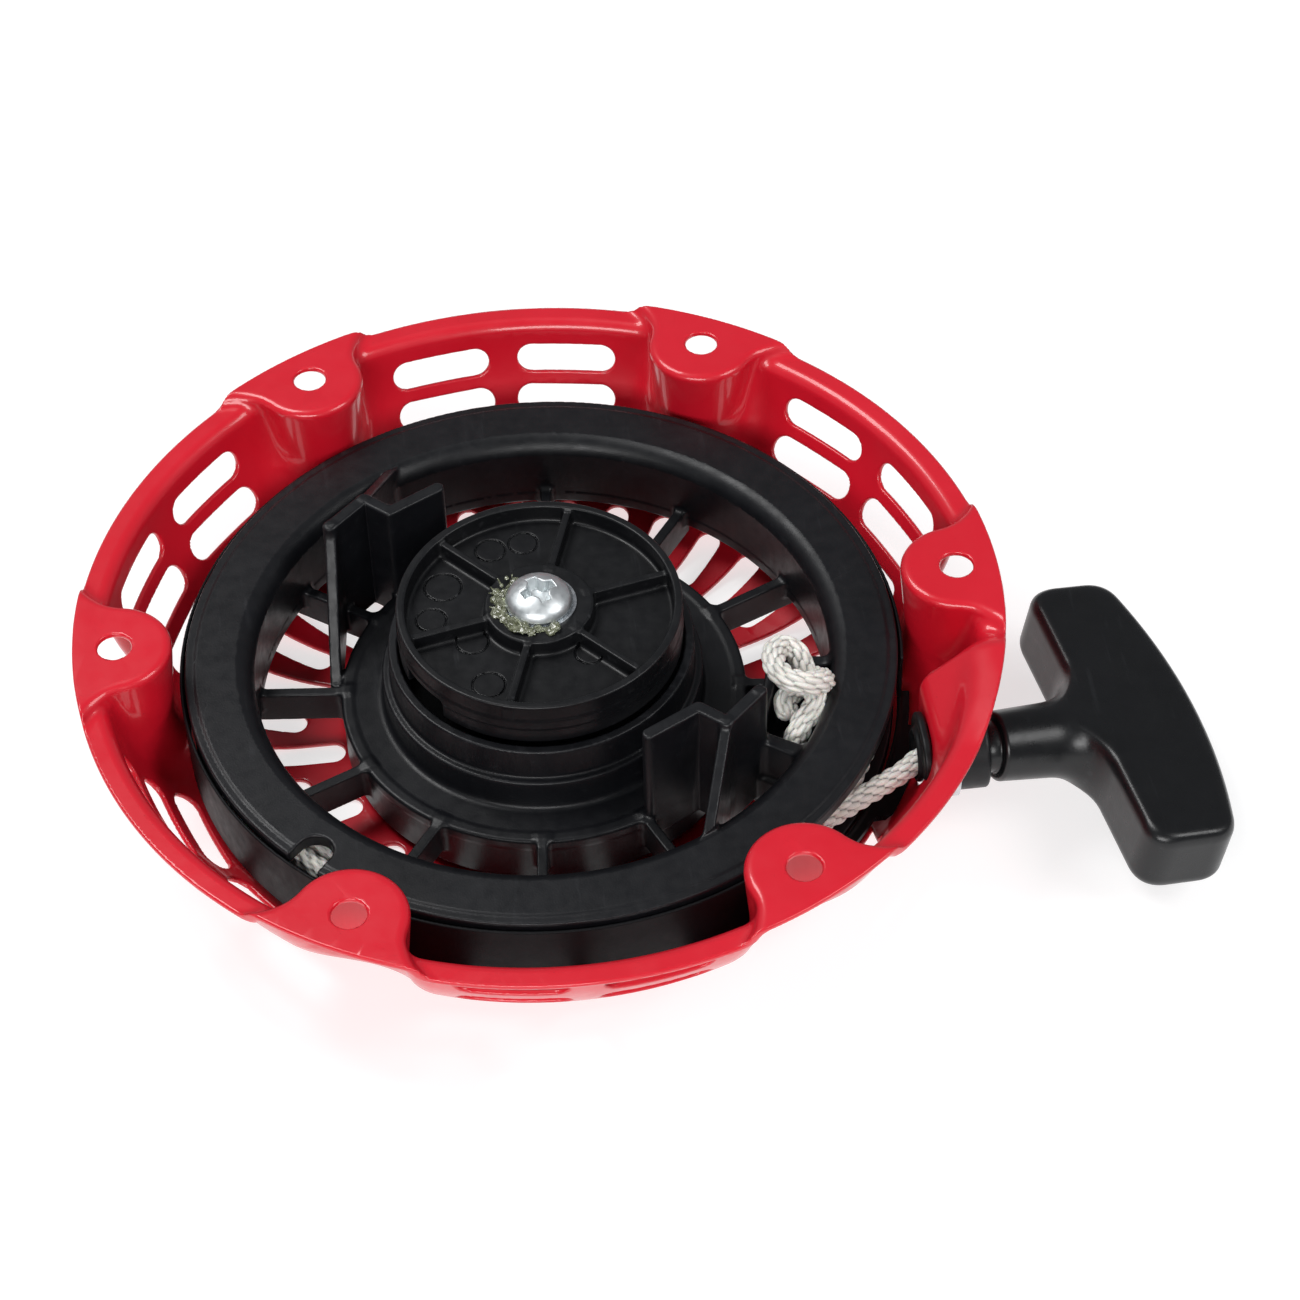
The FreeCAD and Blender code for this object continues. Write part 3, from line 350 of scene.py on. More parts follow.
def bowl_field(r, z):
    """Inner surface of the bowl with its rim flange, positive on the steel's side."""
    low_turn = np.arctan2(r - LOW_C[0], LOW_C[1] - z)
    high_turn = np.arctan2(r - HIGH_C[0], HIGH_C[1] - z)
    low = np.hypot(r - LOW_C[0], z - LOW_C[1]) - LOW_R
    high = np.hypot(r - HIGH_C[0], z - HIGH_C[1]) - HIGH_R
    bend = BEND_R - np.hypot(r - BEND_C[0], z - BEND_C[1])
    flange = RIM_TOP - z
    floor = FACE_Z - z
    wall = np.where(low_turn <= LOW_END, low, high)
    wall = np.where(high_turn > HIGH_END, bend, wall)
    wall = np.where((r > BEND_C[0]) & (z > BEND_C[1] - 1.2), flange, wall)
    return np.where((r < FACE_FLAT_R) & (z < 0), floor, np.where((r < 60) & (z >= 0), -30.0, wall))


def ear_field(x, y, z):
    """The six ear blocks, negative inside."""
    u, v = fold(x, y, EAR_COUNT)
    v = np.abs(v)
    fu, fv = u - FLARE[0], v - FLARE[1]
    cross = (FLARE[0] - EAR_HOLE) * v - FLARE[1] * (u - EAR_HOLE)
    tip = np.hypot(u - EAR_HOLE, v) - EAR_TIP
    round_flare = EAR_FLARE - np.hypot(fu, fv)
    straight = EAR_FLARE - (fu * math.cos(FLARE_END) + fv * math.sin(FLARE_END))
    flare = np.where(np.arctan2(fv, fu) > FLARE_END, straight, round_flare)
    flat = np.where(cross > 0, tip, flare)
    drawn_in = 0.10 * np.clip(-z - 1.0, 0.0, 18.0)
    return smax(flat + drawn_in, z, 2.0)


def pocket_field(x, y, z):
    """Room pressed out of the wall for the rope guide, slanted at its top."""
    slant = (GUIDE_X + 1.15 * (z + 10.4) - x) / 1.524
    ramp = smax(GUIDE_X - x, slant, 2.0)
    return prism(box2(y - ROPE_Y, z + 14.9, 13.0, 14.9, 4.0), ramp, 2.0)


def wall_slot_field(x, y, z):
    """Three rows of wall slots, one each side of the middle between two ears."""
    u, v = fold(x, y, EAR_COUNT, 180.0 / EAR_COUNT)
    v = np.abs(v)
    turn = math.radians(SLOT_TURN)
    across = v * math.cos(turn) - u * math.sin(turn)
    out = u * math.cos(turn) + v * math.sin(turn)
    slots = np.full_like(x, 50.0)
    for row_r, row_z, row_slope in WALL_ROWS:
        lean = math.radians(row_slope)
        up = (out - row_r) * math.cos(lean) + (z - row_z) * math.sin(lean)
        deep = (out - row_r) * math.sin(lean) - (z - row_z) * math.cos(lean)
        slots = np.minimum(slots, np.maximum(obround(across, up, SLOT_LEN, SLOT_W), np.abs(deep) - 6.0))
    return slots


def face_slot_field(x, y, z):
    """Radial slots of the closed face, long and short in turn."""
    slots = np.full_like(x, 50.0)
    for turn_deg, inner_r in FACE_SLOTS:
        u, v = fold(x, y, FACE_SLOT_COUNT, turn_deg)
        flat = obround(u - (inner_r + FACE_SLOT_OUT) / 2, v, FACE_SLOT_OUT - inner_r, FACE_SLOT_W)
        slots = np.minimum(slots, np.maximum(flat, z + 30.0))
    return slots


def housing_field(x, y, z):
    """Sheet of even thickness round the bowl, ears and pocket, with its holes and slots."""
    r = np.hypot(x, y)
    blend = 3.0 + 4.0 * np.clip((-z - 5.0) / 12.0, 0, 1)
    inner = smax(bowl_field(r, z), -ear_field(x, y, z), blend)
    inner = smax(inner, -pocket_field(x, y, z), 4.0)
    skin = np.abs(inner - STEEL / 2) - STEEL / 2
    skin = smax(skin, r - RIM_R, 0.5)
    u, v = fold(x, y, EAR_COUNT)
    skin = smax(skin, EAR_HOLE_R - np.hypot(u - EAR_HOLE, v), 0.5)
    # the wall stays whole round the rope guide
    keep = np.maximum(rect(y, z, ROPE_Y - 15, ROPE_Y + 15, ROPE_Z - 12.5, 3.0), 62 - x)
    cuts = np.minimum(wall_slot_field(x, y, z), face_slot_field(x, y, z))
    cuts = np.maximum(cuts, -keep)
    guide_hole = np.maximum(np.hypot(y - ROPE_Y, z - ROPE_Z) - 6.2, np.abs(x - 72) - 12)
    post_hole = np.maximum(r - 4.05, z + 30)
    cuts = np.minimum(np.minimum(cuts, guide_hole), post_hole)
    return smax(skin, -cuts, 0.45)


# ------------------------------------------------------------------ reel
DOG_WALL = ((17.9, -37.0), (28.3, -31.4), (33.3, -35.8), (40.8, -28.6))


def reel_ring(r, z):
    """Two flanges about a core, the inner top edge well rounded."""
    step_share = np.clip((r - 70.3) / 0.9, 0, 1)
    lowered = 0.4 * step_share * step_share * (3 - 2 * step_share)
    top = rect(r, z, RING_IN, RING_OUT, GROOVE_TOP, RING_TOP, 0.45)
    top = smax(top, z - RING_TOP + lowered, 0.5)
    core = rect(r, z, RING_IN, RING_CORE, RING_LOW, RING_TOP, 0.4)
    low = rect(r, z, RING_IN, RING_OUT - 0.4, RING_LOW, GROOVE_LOW, 0.45)
    ring = smin(smin(top, core, 0.6), low, 0.6)
    edge = np.hypot(r - 63.4, z + 15.6) - 4.7
    return np.where((r < 63.4) & (z > -15.6), np.maximum(ring, edge), ring)


def reel_hub(r, z):
    """Hub plate with its skirt, stepped drum and centre boss."""
    hub = rect(r, z, REEL_BORE, HUB_R, -26.8, HUB_TOP, 0.6)
    hub = smin(hub, rect(r, z, HUB_SKIRT, HUB_R, -36.2, HUB_TOP, 0.6), 0.8)
    hub = smin(hub, rect(r, z, DRUM_IN, DRUM_R, -26.0, -17.1, 0.5), 1.6)
    hub = smin(hub, rect(r, z, DRUM_IN, DRUM_STEP_R, -26.0, -9.6, 0.4), 0.6)
    return smin(hub, rect(r, z, REEL_BORE, BOSS_R, -26.0, -9.4, 0.4), 0.8)


def drive_dog(x, y, z):
    """Folded wall with a gusset down to the ring and a brace down to the hub's edge."""
    walls = [segment(x, y, DOG_WALL[i], DOG_WALL[i + 1])[0] for i in range(3)]
    plan = np.minimum(np.minimum(walls[0], walls[1]), walls[2]) - 1.4
    wall = prism(plan, slab(z, -30.0, -0.02), 0.5)
    flat, share = segment(x, y, DOG_WALL[2], (25.9, -58.6))
    gusset = prism(flat - 1.1, np.maximum(-30.0 - z, (z + 0.3 + 12.6 * share) * 0.88), 0.4)
    gusset = np.maximum(gusset, np.hypot(x, y) - 60.9)
    flat, share = segment(x, y, DOG_WALL[3], (42.8, -7.5))
    brace = prism(flat - 1.2, np.maximum(-30.0 - z, (z + 0.3 + 25.0 * share) * 0.64), 0.4)
    return smin(smin(wall, gusset, 1.0), brace, 1.0)


def reel_field(x, y, z):
    """Reel moulding: ring, hub, spokes, drive dogs, knot pocket and notch."""
    r = np.hypot(x, y)
    solid = np.minimum(reel_ring(r, z), reel_hub(r, z))
    u, v = fold(x, y, 12, -6.0)
    spoke = prism(box2(u - 50.5, v, 10.5, 1.1), slab(z, -32.0, HUB_TOP), 0.4)
    solid = smin(solid, spoke, 1.6)
    for turn in (1.0, -1.0):
        solid = smin(solid, drive_dog(x * turn, y * turn, z), 1.2)
    # solid wedge with the knot's pocket
    angle = np.degrees(np.arctan2(y, x))
    plan = np.maximum(slab(r, 46.0, 61.0), sector(r, angle, -36.0, -8.0))
    solid = smin(solid, prism(plan, slab(z, RING_LOW, -14.4), 0.8), 1.6)
    plan = np.maximum(slab(r, 48.2, 59.2), sector(r, angle, -32.5, -11.0))
    solid = smax(solid, -prism(plan, slab(z, -22.6, 6.0), 1.2), 0.9)
    u, v = fold(x, y, 1, -135.0)
    notch = prism(obround(u - 77.0, v, 23.0, 7.2), slab(z, -15.6, -8.0), 0.1)
    solid = smax(solid, -notch, 0.6)
    return smax(solid, REEL_BORE - r, 0.3)


# ------------------------------------------------------------------ retaining disc
# round marks left by the mould's ejectors: distance out, direction, radius
EJECTORS = ((21.0, 94.0, 3.0), (21.4, 113.0, 3.1), (21.6, 151.0, 3.8), (22.0, 176.0, 3.1), (15.2, 201.0, 3.3),
            (21.3, 236.0, 3.3), (14.6, -52.0, 3.0))


def disc_field(x, y, z):
    """Dished plate with six ribs, a boss and a window in its wall."""
    r = np.hypot(x, y)
    cup = rect(r, z, DISC_BORE, 28.9, -5.0, DISC_FLOOR, 0.3)
    cup = smin(cup, rect(r, z, DISC_WALL, DISC_R, -9.0, 1.1, 0.45), 0.9)
    cup = smin(cup, rect(r, z, DISC_BORE, 11.1, -5.0, 0.6, 0.5), 0.9)
    u, v = fold(x, y, 6, 12.0)
    rib = prism(box2(u - 19.0, v, 9.6, 0.75), slab(z, -4.5, 0.25), 0.3)
    cup = smin(cup, rib, 1.0)
    for spot_r, spot_deg, mark_r in EJECTORS:
        spot_x, spot_y = polar(spot_r, spot_deg)
        mark = np.abs(np.hypot(x - spot_x, y - spot_y) - mark_r) - 0.17
        cup = smax(cup, -np.maximum(np.maximum(mark, -3.25 - z), z + 2.4), 0.15)
    u, v = fold(x, y, 1, -150.0)
    window = prism(box2(u - DISC_R, v, 4.0, 6.0), slab(z, -12.0, -4.4), 0.5)
    cup = smax(cup, -window, 0.4)
    return smax(cup, DISC_BORE - r, 0.3)


# ------------------------------------------------------------------ screw head with a cross recess
def screw_field(x, y, z):
    """Domed head on a shank."""
    r = np.hypot(x, y)
    head = np.maximum(np.sqrt(r * r + (z + 4.4) ** 2) - 9.75, slab(z, HEAD_SEAT, 9.0))
    head = smax(head, r - HEAD_R, 1.3)
    head = smax(head, HEAD_SEAT - z, 0.5)
    shank = prism(r - SHANK_R, slab(z, -24.0, 2.0), 0.4)
    solid = smin(head, shank, 0.4)
    u, v = fold(x, y, 4, 22.0)
    depth = z - 2.2
    wing = np.maximum(np.abs(v) - 0.78 - 0.10 * depth, u - 2.5 - 0.42 * depth)
    core = r - 1.45 - 0.30 * depth
    recess = np.maximum(smin(wing, core, 0.7), -depth)
    return smax(solid, -recess, 0.35)


# ------------------------------------------------------------------ grip, in its own frame along u
def grip_field(u, v, w):
    av = np.abs(v)
    # plan: straight inner face, bowed outer face, rounded ends
    bow = np.hypot(u + 79.4, v) - 122.3
    plan = smax(smax(19.2 - u, av - 36.0, 6.0), bow, 4.5)
    bar = smax(plan, np.abs(w) - GRIP_HALF, 3.4)
    rs = np.hypot(v, w)
    stem = prism(rs - (7.15 + 0.045 * u), slab(u, 0.0, 28.0), 0.9)
    stem = smin(stem, np.hypot(u, rs) - NOSE_R, 0.5)
    body = smin(bar, stem, 8.0)
    body = smax(body, np.abs(w) - GRIP_HALF, 0.8)
    bore = np.maximum(rs - 2.75 - 0.25 * np.maximum(0.5 - u, 0), slab(u, -7.0, 24.0))
    cave = np.maximum(rs - 6.2, 23.5 - u)
    return smax(body, -np.minimum(bore, cave), 0.5)


# ------------------------------------------------------------------ rope guide through the wall, along X
def guide_field(x, y, z):
    v, w = y - ROPE_Y, z - ROPE_Z
    rs = np.hypot(v, w)
    plate = prism(box2(v, w, 8.4, 7.4, 6.5), slab(x, GUIDE_X - 2.0, GUIDE_X - 0.3), 0.6)
    plate = smax(plate, bowl_field(np.hypot(x, y), z) + 0.3, 0.5)
    lip = prism(rs - 5.6, slab(x, GUIDE_X - 3.0, GUIDE_X - 1.0), 0.8)
    barrel = prism(rs - 6.1, slab(x, GUIDE_X - 1.0, GUIDE_END), 0.3)
    boss = prism(rs - 8.0, slab(x, GUIDE_X + 1.5, GUIDE_END), 0.8)
    solid = smin(smin(plate, lip, 0.8), np.minimum(barrel, boss), 0.5)
    groove = np.maximum(6.8 - rs, slab(x, GUIDE_X + 4.0, GUIDE_X + 5.4))
    solid = smax(solid, -groove, 0.2)
    cup = NOSE_R + 0.3 - np.hypot(rs, x - GUIDE_END - 1.7)
    solid = smax(solid, cup, 0.3)
    mouth = (rs - 2.8 - 0.45 * np.maximum(GUIDE_X + 0.6 - x, 0)) * 0.9
    return smax(solid, -mouth, 1.0)


def shroud_field(x, y, z):
    """Guard ring round the reel, open where the rope leaves, with a shelf under the rope."""
    r = np.hypot(x, y)
    degrees = np.degrees(np.arctan2(y, x))
    ring = prism(np.abs(r - SHROUD_R) - 0.36, slab(z, SHROUD_LOW, SHROUD_TOP), 0.3)
    exit_side = np.abs(degrees + 31.0) - 21.0
    ring = smax(ring, -np.maximum(exit_side * 1.28, -24.7 - z), 0.5)
    rim = np.where((y < -20) & (y > -43.5), x - 74.2, r - 75.8)
    rim = np.maximum(rim, bowl_field(r, z) + 0.3)
    level = np.maximum(slab(z, -26.6, -24.9), (exit_side - 2.0) * 1.28)
    shelf = np.maximum(np.maximum(73.3 - r, rim), level)
    return smin(ring, shelf + 0.1, 0.5)


# ------------------------------------------------------------------ dried thread-locking compound
def locker_field(x, y, z):
    """Broken bead round one side of the screw head, with lumps and drawn-out strands."""
    rng = np.random.default_rng(11)
    lumps, strands = 46, 16
    r = np.hypot(x, y)
    angle = np.degrees(np.arctan2(-y, -x))
    solid = np.maximum(rect(r, z, 7.1, 8.1, 0.2, 1.1, 0.3), (np.abs(angle - 28.0) - 78.0) * 0.13)
    for _ in range(lumps):
        spot_x, spot_y = polar(rng.uniform(7.1, 9.2), rng.normal(212.0, 38.0))
        lump = rng.uniform(0.45, 1.15)
        flat = rng.uniform(1.1, 2.4)
        spot_z = 0.6 + rng.uniform(0.0, 1.1)
        away = np.sqrt((x - spot_x) ** 2 + (y - spot_y) ** 2 + ((z - spot_z) * flat) ** 2)
        solid = smin(solid, (away - lump) / flat, 0.45)
    for _ in range(strands):
        degrees = rng.normal(215.0, 45.0)
        root = polar(7.6, degrees)
        tip = polar(rng.uniform(8.8, 10.6), degrees + rng.uniform(-14.0, 14.0))
        flat, share = segment(x, y, root, tip)
        strand = np.hypot(flat, z - 0.9 - 0.5 * np.sin(3.0 * share + degrees)) - 0.17
        solid = smin(solid, strand, 0.3)
    wrinkle = np.sin(4.1 * x + 2.7 * z) * np.sin(3.7 * y - 3.3 * z) * np.sin(4.7 * z + 2.3 * x)
    return np.maximum(solid + 0.05 * wrinkle, 0.62 - z)


# ------------------------------------------------------------------ braided rope
def smooth_line(points, step):
    """Evenly spaced points along a smooth curve through the given ones."""
    p = np.asarray(points, float)
    p = np.vstack([2 * p[0] - p[1], p, 2 * p[-1] - p[-2]])
    out = []
    for i in range(1, len(p) - 2):
        knots = [0.0]
        for j in range(3):
            knots.append(knots[-1] + max(np.linalg.norm(p[i + j] - p[i + j - 1]), 1e-6) ** 0.5)
        t = np.linspace(knots[1], knots[2], 24, endpoint=False)[:, None]
        a = [((knots[j + 1] - t) * p[i - 1 + j] + (t - knots[j]) * p[i + j]) / (knots[j + 1] - knots[j])
             for j in range(3)]
        b = [((knots[j + 2] - t) * a[j] + (t - knots[j]) * a[j + 1]) / (knots[j + 2] - knots[j])
             for j in range(2)]
        out.append(((knots[2] - t) * b[0] + (t - knots[1]) * b[1]) / (knots[2] - knots[1]))
    line = np.vstack(out + [p[-2][None]])
    run = np.concatenate([[0], np.cumsum(np.linalg.norm(np.diff(line, axis=0), axis=1))])
    count = max(int(run[-1] / step), 2)
    even = np.linspace(0, run[-1], count + 1)
    return np.stack([np.interp(even, run, line[:, i]) for i in range(3)], 1), even


def braid_height(run, theta, radius):
    """Height of the braid over the rope's axis: columns of short strands, each column half a strand on."""
    best = np.full_like(theta, radius * 0.64)
    for shift in (0.0, 0.5):
        phase = theta / (2 * math.pi) * BRAID_COLUMNS / 2 + shift
        column = np.round(phase)
        across = (phase - column) * 4 * math.pi * radius / BRAID_COLUMNS
        station = run / STRAND_PITCH + shift
        along = (station - np.round(station)) * STRAND_PITCH
        across = across - 0.20 * along
        dome = np.sqrt(np.maximum(1 - (across / STRAND_HALF_W) ** 2 - (along / STRAND_HALF_LEN) ** 2, 0))
        uneven = 0.03 * np.sin(column * 2.3 + run * 0.7)
        best = np.maximum(best, radius - 0.80 + 0.77 * dome + uneven)
    return np.minimum(best, radius)


def rope(name, points, step, sides, radius=ROPE_R, tail=False):
    """Closed braided tube along a smooth route."""
    line, run = smooth_line(points, step)
    ahead = np.gradient(line, axis=0)
    ahead /= np.linalg.norm(ahead, axis=1)[:, None]
    side = np.empty_like(line)
    first = np.cross(ahead[0], [0.0, 0.0, 1.0])
    if np.linalg.norm(first) < 0.1:
        first = np.cross(ahead[0], [0.0, 1.0, 0.0])
    side[0] = first / np.linalg.norm(first)
    for i in range(1, len(line)):
        moved = side[i - 1] - ahead[i] * (side[i - 1] @ ahead[i])
        side[i] = moved / np.linalg.norm(moved)
    over = np.cross(ahead, side)
    theta = np.arange(sides) * 2 * math.pi / sides
    height = braid_height(run[:, None] + 0 * theta, theta[None] + 0 * run[:, None], radius)
    if tail:
        left = np.clip((run[-1] - run) / 1.4, 0, 1)
        height *= (0.35 + 0.65 * np.sqrt(1 - (1 - left) ** 2))[:, None]
    ring = (line[:, None] + height[..., None] * (np.cos(theta)[None, :, None] * side[:, None]
                                                 + np.sin(theta)[None, :, None] * over[:, None]))
    rows = len(line)
    verts = ring.reshape(-1, 3)
    i, j = np.meshgrid(np.arange(rows - 1), np.arange(sides), indexing="ij")
    k = (j + 1) % sides
    quads = [i * sides + j, i * sides + k, (i + 1) * sides + k, (i + 1) * sides + j]
    faces = np.stack(quads, -1).reshape(-1, 4).tolist()
    verts = np.vstack([verts, line[:1], line[-1:]])
    for j in range(sides):
        k = (j + 1) % sides
        faces.append([len(verts) - 2, k, j])
        faces.append([len(verts) - 1, (rows - 1) * sides + j, (rows - 1) * sides + k])
    mesh = bpy.data.meshes.new(name)
    mesh.from_pydata((verts * MM).tolist(), [], faces)
    mesh.validate()
    mesh.shade_smooth()
    return new_object(name, mesh)


ENTRY = (GUIDE_X + 1.4, ROPE_Y)
LEAVE_DEG = math.degrees(math.atan2(ENTRY[1], ENTRY[0]) - math.acos(COIL_OUT / math.hypot(*ENTRY)))
JOIN_DEG = LEAVE_DEG - 26.0


def coil_route():
    """Stations of the rope wound in the reel's groove, from the knot to where the run joins it."""
    # first and last degree, first and last radius, first and last height, number of stations
    stages = ((-31, 295, COIL_IN, COIL_IN, HIGH_ROW, HIGH_ROW, 30),
              (295, 322, COIL_IN, COIL_IN, HIGH_ROW, LOW_ROW, 4),
              (322, 655, COIL_IN, COIL_IN, LOW_ROW, LOW_ROW, 30),
              (655, 683, COIL_IN, COIL_OUT, LOW_ROW, LOW_ROW, 4),
              (683, 1015, COIL_OUT, COIL_OUT, LOW_ROW, LOW_ROW, 30),
              (1015, 1042, COIL_OUT, COIL_OUT, LOW_ROW, HIGH_ROW, 4),
              (1042, JOIN_DEG + 1440, COIL_OUT, COIL_OUT, HIGH_ROW, HIGH_ROW, 30))
    points = []
    for start, stop, r_a, r_b, z_a, z_b, count in stages:
        for i in range(count):
            share = i / count
            ease = share * share * (3 - 2 * share)
            x, y = polar(r_a + (r_b - r_a) * ease, start + (stop - start) * share)
            points.append((x, y, z_a + (z_b - z_a) * ease))
    points.append(polar(COIL_OUT, JOIN_DEG) + (HIGH_ROW,))
    return points


def run_route():
    """From the groove, off the coil at a tangent and through the guide."""
    points = [polar(COIL_OUT, JOIN_DEG + (LEAVE_DEG - JOIN_DEG) * i / 6) + (HIGH_ROW,) for i in range(7)]
    start = np.array(points[-1])
    goal = np.array(ENTRY + (ROPE_Z,))
    points += [tuple(start + (goal - start) * share) for share in (0.2, 0.4, 0.6, 0.8)]
    points += [(GUIDE_X - 0.6, ROPE_Y - 0.6, ROPE_Z + 0.1), (GUIDE_X + 4.0, ROPE_Y, ROPE_Z),
               (GUIDE_END - 4.0, ROPE_Y, ROPE_Z)]
    return points


# up out of the pocket's bottom, over itself and back down beside its start
KNOT_ROUTE = [polar(COIL_IN, -31.0) + (HIGH_ROW,),
              (52.8, -36.0, -17.4), (50.0, -34.4, -18.6), (48.2, -30.6, -19.4),
              (48.4, -26.9, -18.9), (50.4, -24.2, -16.2), (53.4, -21.8, -13.6), (53.5, -18.2, -12.9),
              (52.2, -13.6, -12.0), (51.0, -10.6, -10.2), (48.4, -9.7, -8.8), (46.2, -12.2, -7.8),
              (45.8, -16.4, -7.0), (47.7, -20.9, -6.4), (51.9, -22.0, -7.2), (55.2, -19.4, -9.8),
              (54.2, -14.6, -14.2), (50.4, -14.4, -17.2), (47.9, -17.2, -17.6), (48.4, -20.6, -18.6)]


# ------------------------------------------------------------------ materials
def link(tree, a, b):
    tree.links.new(a, b)


def noise(tree, coords, scale, detail=3.0, rough=0.55, stretch=None):
    """Noise in millimetres: scale is patches per millimetre."""
    source = coords
    if stretch is not None:
        shape = tree.nodes.new("ShaderNodeMapping")
        shape.inputs["Scale"].default_value = stretch
        link(tree, coords, shape.inputs["Vector"])
        source = shape.outputs["Vector"]
    node = tree.nodes.new("ShaderNodeTexNoise")
    node.inputs["Scale"].default_value = scale / MM
    node.inputs["Detail"].default_value = detail
    node.inputs["Roughness"].default_value = rough
    link(tree, source, node.inputs["Vector"])
    return node.outputs["Fac"]


def span(tree, value, low, high, to_low, to_high):
    """A value mapped from one range to another."""
    node = tree.nodes.new("ShaderNodeMapRange")
    node.inputs["From Min"].default_value = low
    node.inputs["From Max"].default_value = high
    node.inputs["To Min"].default_value = to_low
    node.inputs["To Max"].default_value = to_high
    link(tree, value, node.inputs["Value"])
    return node.outputs["Result"]


def blend_colour(tree, share, one, two):
    """Mix of two colours, each a tuple or a socket."""
    node = tree.nodes.new("ShaderNodeMix")
    node.data_type = "RGBA"
    link(tree, share, node.inputs[0])
    for socket, value in ((node.inputs[6], one), (node.inputs[7], two)):
        if isinstance(value, tuple):
            socket.default_value = value + (1.0,)
        else:
            link(tree, value, socket)
    return node.outputs[2]


def bump(tree, height, strength, distance, below=None):
    node = tree.nodes.new("ShaderNodeBump")
    node.inputs["Strength"].default_value = strength
    node.inputs["Distance"].default_value = distance * MM
    link(tree, height, node.inputs["Height"])
    if below is not None:
        link(tree, below, node.inputs["Normal"])
    return node.outputs["Normal"]


def material(name, **fixed):
    """Principled material with its fixed settings, ready for nodes."""
    made = bpy.data.materials.new(name)
    made.use_nodes = True
    tree = made.node_tree
    shader = tree.nodes["Principled BSDF"]
    for key, value in fixed.items():
        shader.inputs[key.replace("_", " ")].default_value = value
    coords = tree.nodes.new("ShaderNodeTexCoord").outputs["Object"]
    return made, tree, shader, coords


def moulded(name, colour, lighter, rough_low, rough_high, grain, grain_depth, shine=0.32):
    """Moulded plastic: slight cloudiness, fine grain, faint rubbed streaks and paler edges."""
    made, tree, shader, coords = material(name, IOR=1.5, Specular_IOR_Level=shine)
    cloud = span(tree, noise(tree, coords, 0.09, 4.0), 0.35, 0.7, 0.0, 1.0)
    rub = span(tree, noise(tree, coords, 0.5, 5.0, 0.6, (1.0, 0.12, 1.0)), 0.60, 0.78, 0.0, 0.55)
    edge = span(tree, tree.nodes.new("ShaderNodeNewGeometry").outputs["Pointiness"], 0.53, 0.62, 0.0, 0.5)
    tone = blend_colour(tree, cloud, colour, tuple(c * 1.35 for c in colour))
    tone = blend_colour(tree, rub, tone, lighter)
    tone = blend_colour(tree, edge, tone, lighter)
    link(tree, tone, shader.inputs["Base Color"])
    rough = span(tree, noise(tree, coords, 0.35, 5.0), 0.3, 0.7, rough_low, rough_high)
    link(tree, rough, shader.inputs["Roughness"])
    fine = bump(tree, noise(tree, coords, grain, 2.0), 0.5, grain_depth)
    wave = bump(tree, noise(tree, coords, 0.12, 2.0), 0.25, 0.25, fine)
    link(tree, wave, shader.inputs["Normal"])
    return made


def red_paint():
    """Glossy sprayed paint with faint orange peel, flecks and paler worn edges."""
    made, tree, shader, coords = material("red_paint", IOR=1.5, Coat_Weight=0.55, Coat_Roughness=0.07,
                                          Specular_IOR_Level=0.35)
    cloud = span(tree, noise(tree, coords, 0.03, 3.0), 0.3, 0.7, 0.0, 1.0)
    tone = blend_colour(tree, cloud, (0.57, 0.0060, 0.0175), (0.62, 0.0085, 0.0230))
    fleck = span(tree, noise(tree, coords, 1.7, 3.0, 0.5), 0.69, 0.76, 0.0, 0.35)
    tone = blend_colour(tree, fleck, tone, (0.32, 0.006, 0.014))
    edge = span(tree, tree.nodes.new("ShaderNodeNewGeometry").outputs["Pointiness"], 0.56, 0.68, 0.0, 0.35)
    tone = blend_colour(tree, edge, tone, (0.66, 0.030, 0.040))
    link(tree, tone, shader.inputs["Base Color"])
    link(tree, span(tree, noise(tree, coords, 0.2, 4.0), 0.3, 0.7, 0.28, 0.40), shader.inputs["Roughness"])
    peel = bump(tree, noise(tree, coords, 0.45, 2.0), 0.22, 0.10)
    link(tree, bump(tree, noise(tree, coords, 0.05, 1.0), 0.3, 0.5, peel), shader.inputs["Normal"])
    link(tree, bump(tree, noise(tree, coords, 0.30, 2.0), 0.20, 0.08), shader.inputs["Coat Normal"])
    return made


def steel(name, colour, darker, rough_low, rough_high, turned_marks, mark_depth=0.05):
    """Metal with cloudy tone, dark spots and fine marks."""
    made, tree, shader, coords = material(name, Metallic=1.0)
    cloud = span(tree, noise(tree, coords, 0.35, 5.0), 0.35, 0.68, 0.0, 1.0)
    tone = blend_colour(tree, cloud, colour, darker)
    spots = span(tree, noise(tree, coords, 2.2, 3.0), 0.62, 0.75, 0.0, 14.0 * mark_depth)
    tone = blend_colour(tree, spots, tone, tuple(c * 0.45 for c in darker))
    link(tree, tone, shader.inputs["Base Color"])
    rough = span(tree, noise(tree, coords, 0.9, 4.0), 0.3, 0.7, rough_low, rough_high)
    link(tree, rough, shader.inputs["Roughness"])
    fine = bump(tree, noise(tree, coords, 4.0, 3.0, 0.5, turned_marks), 0.3, mark_depth)
    link(tree, fine, shader.inputs["Normal"])
    return made


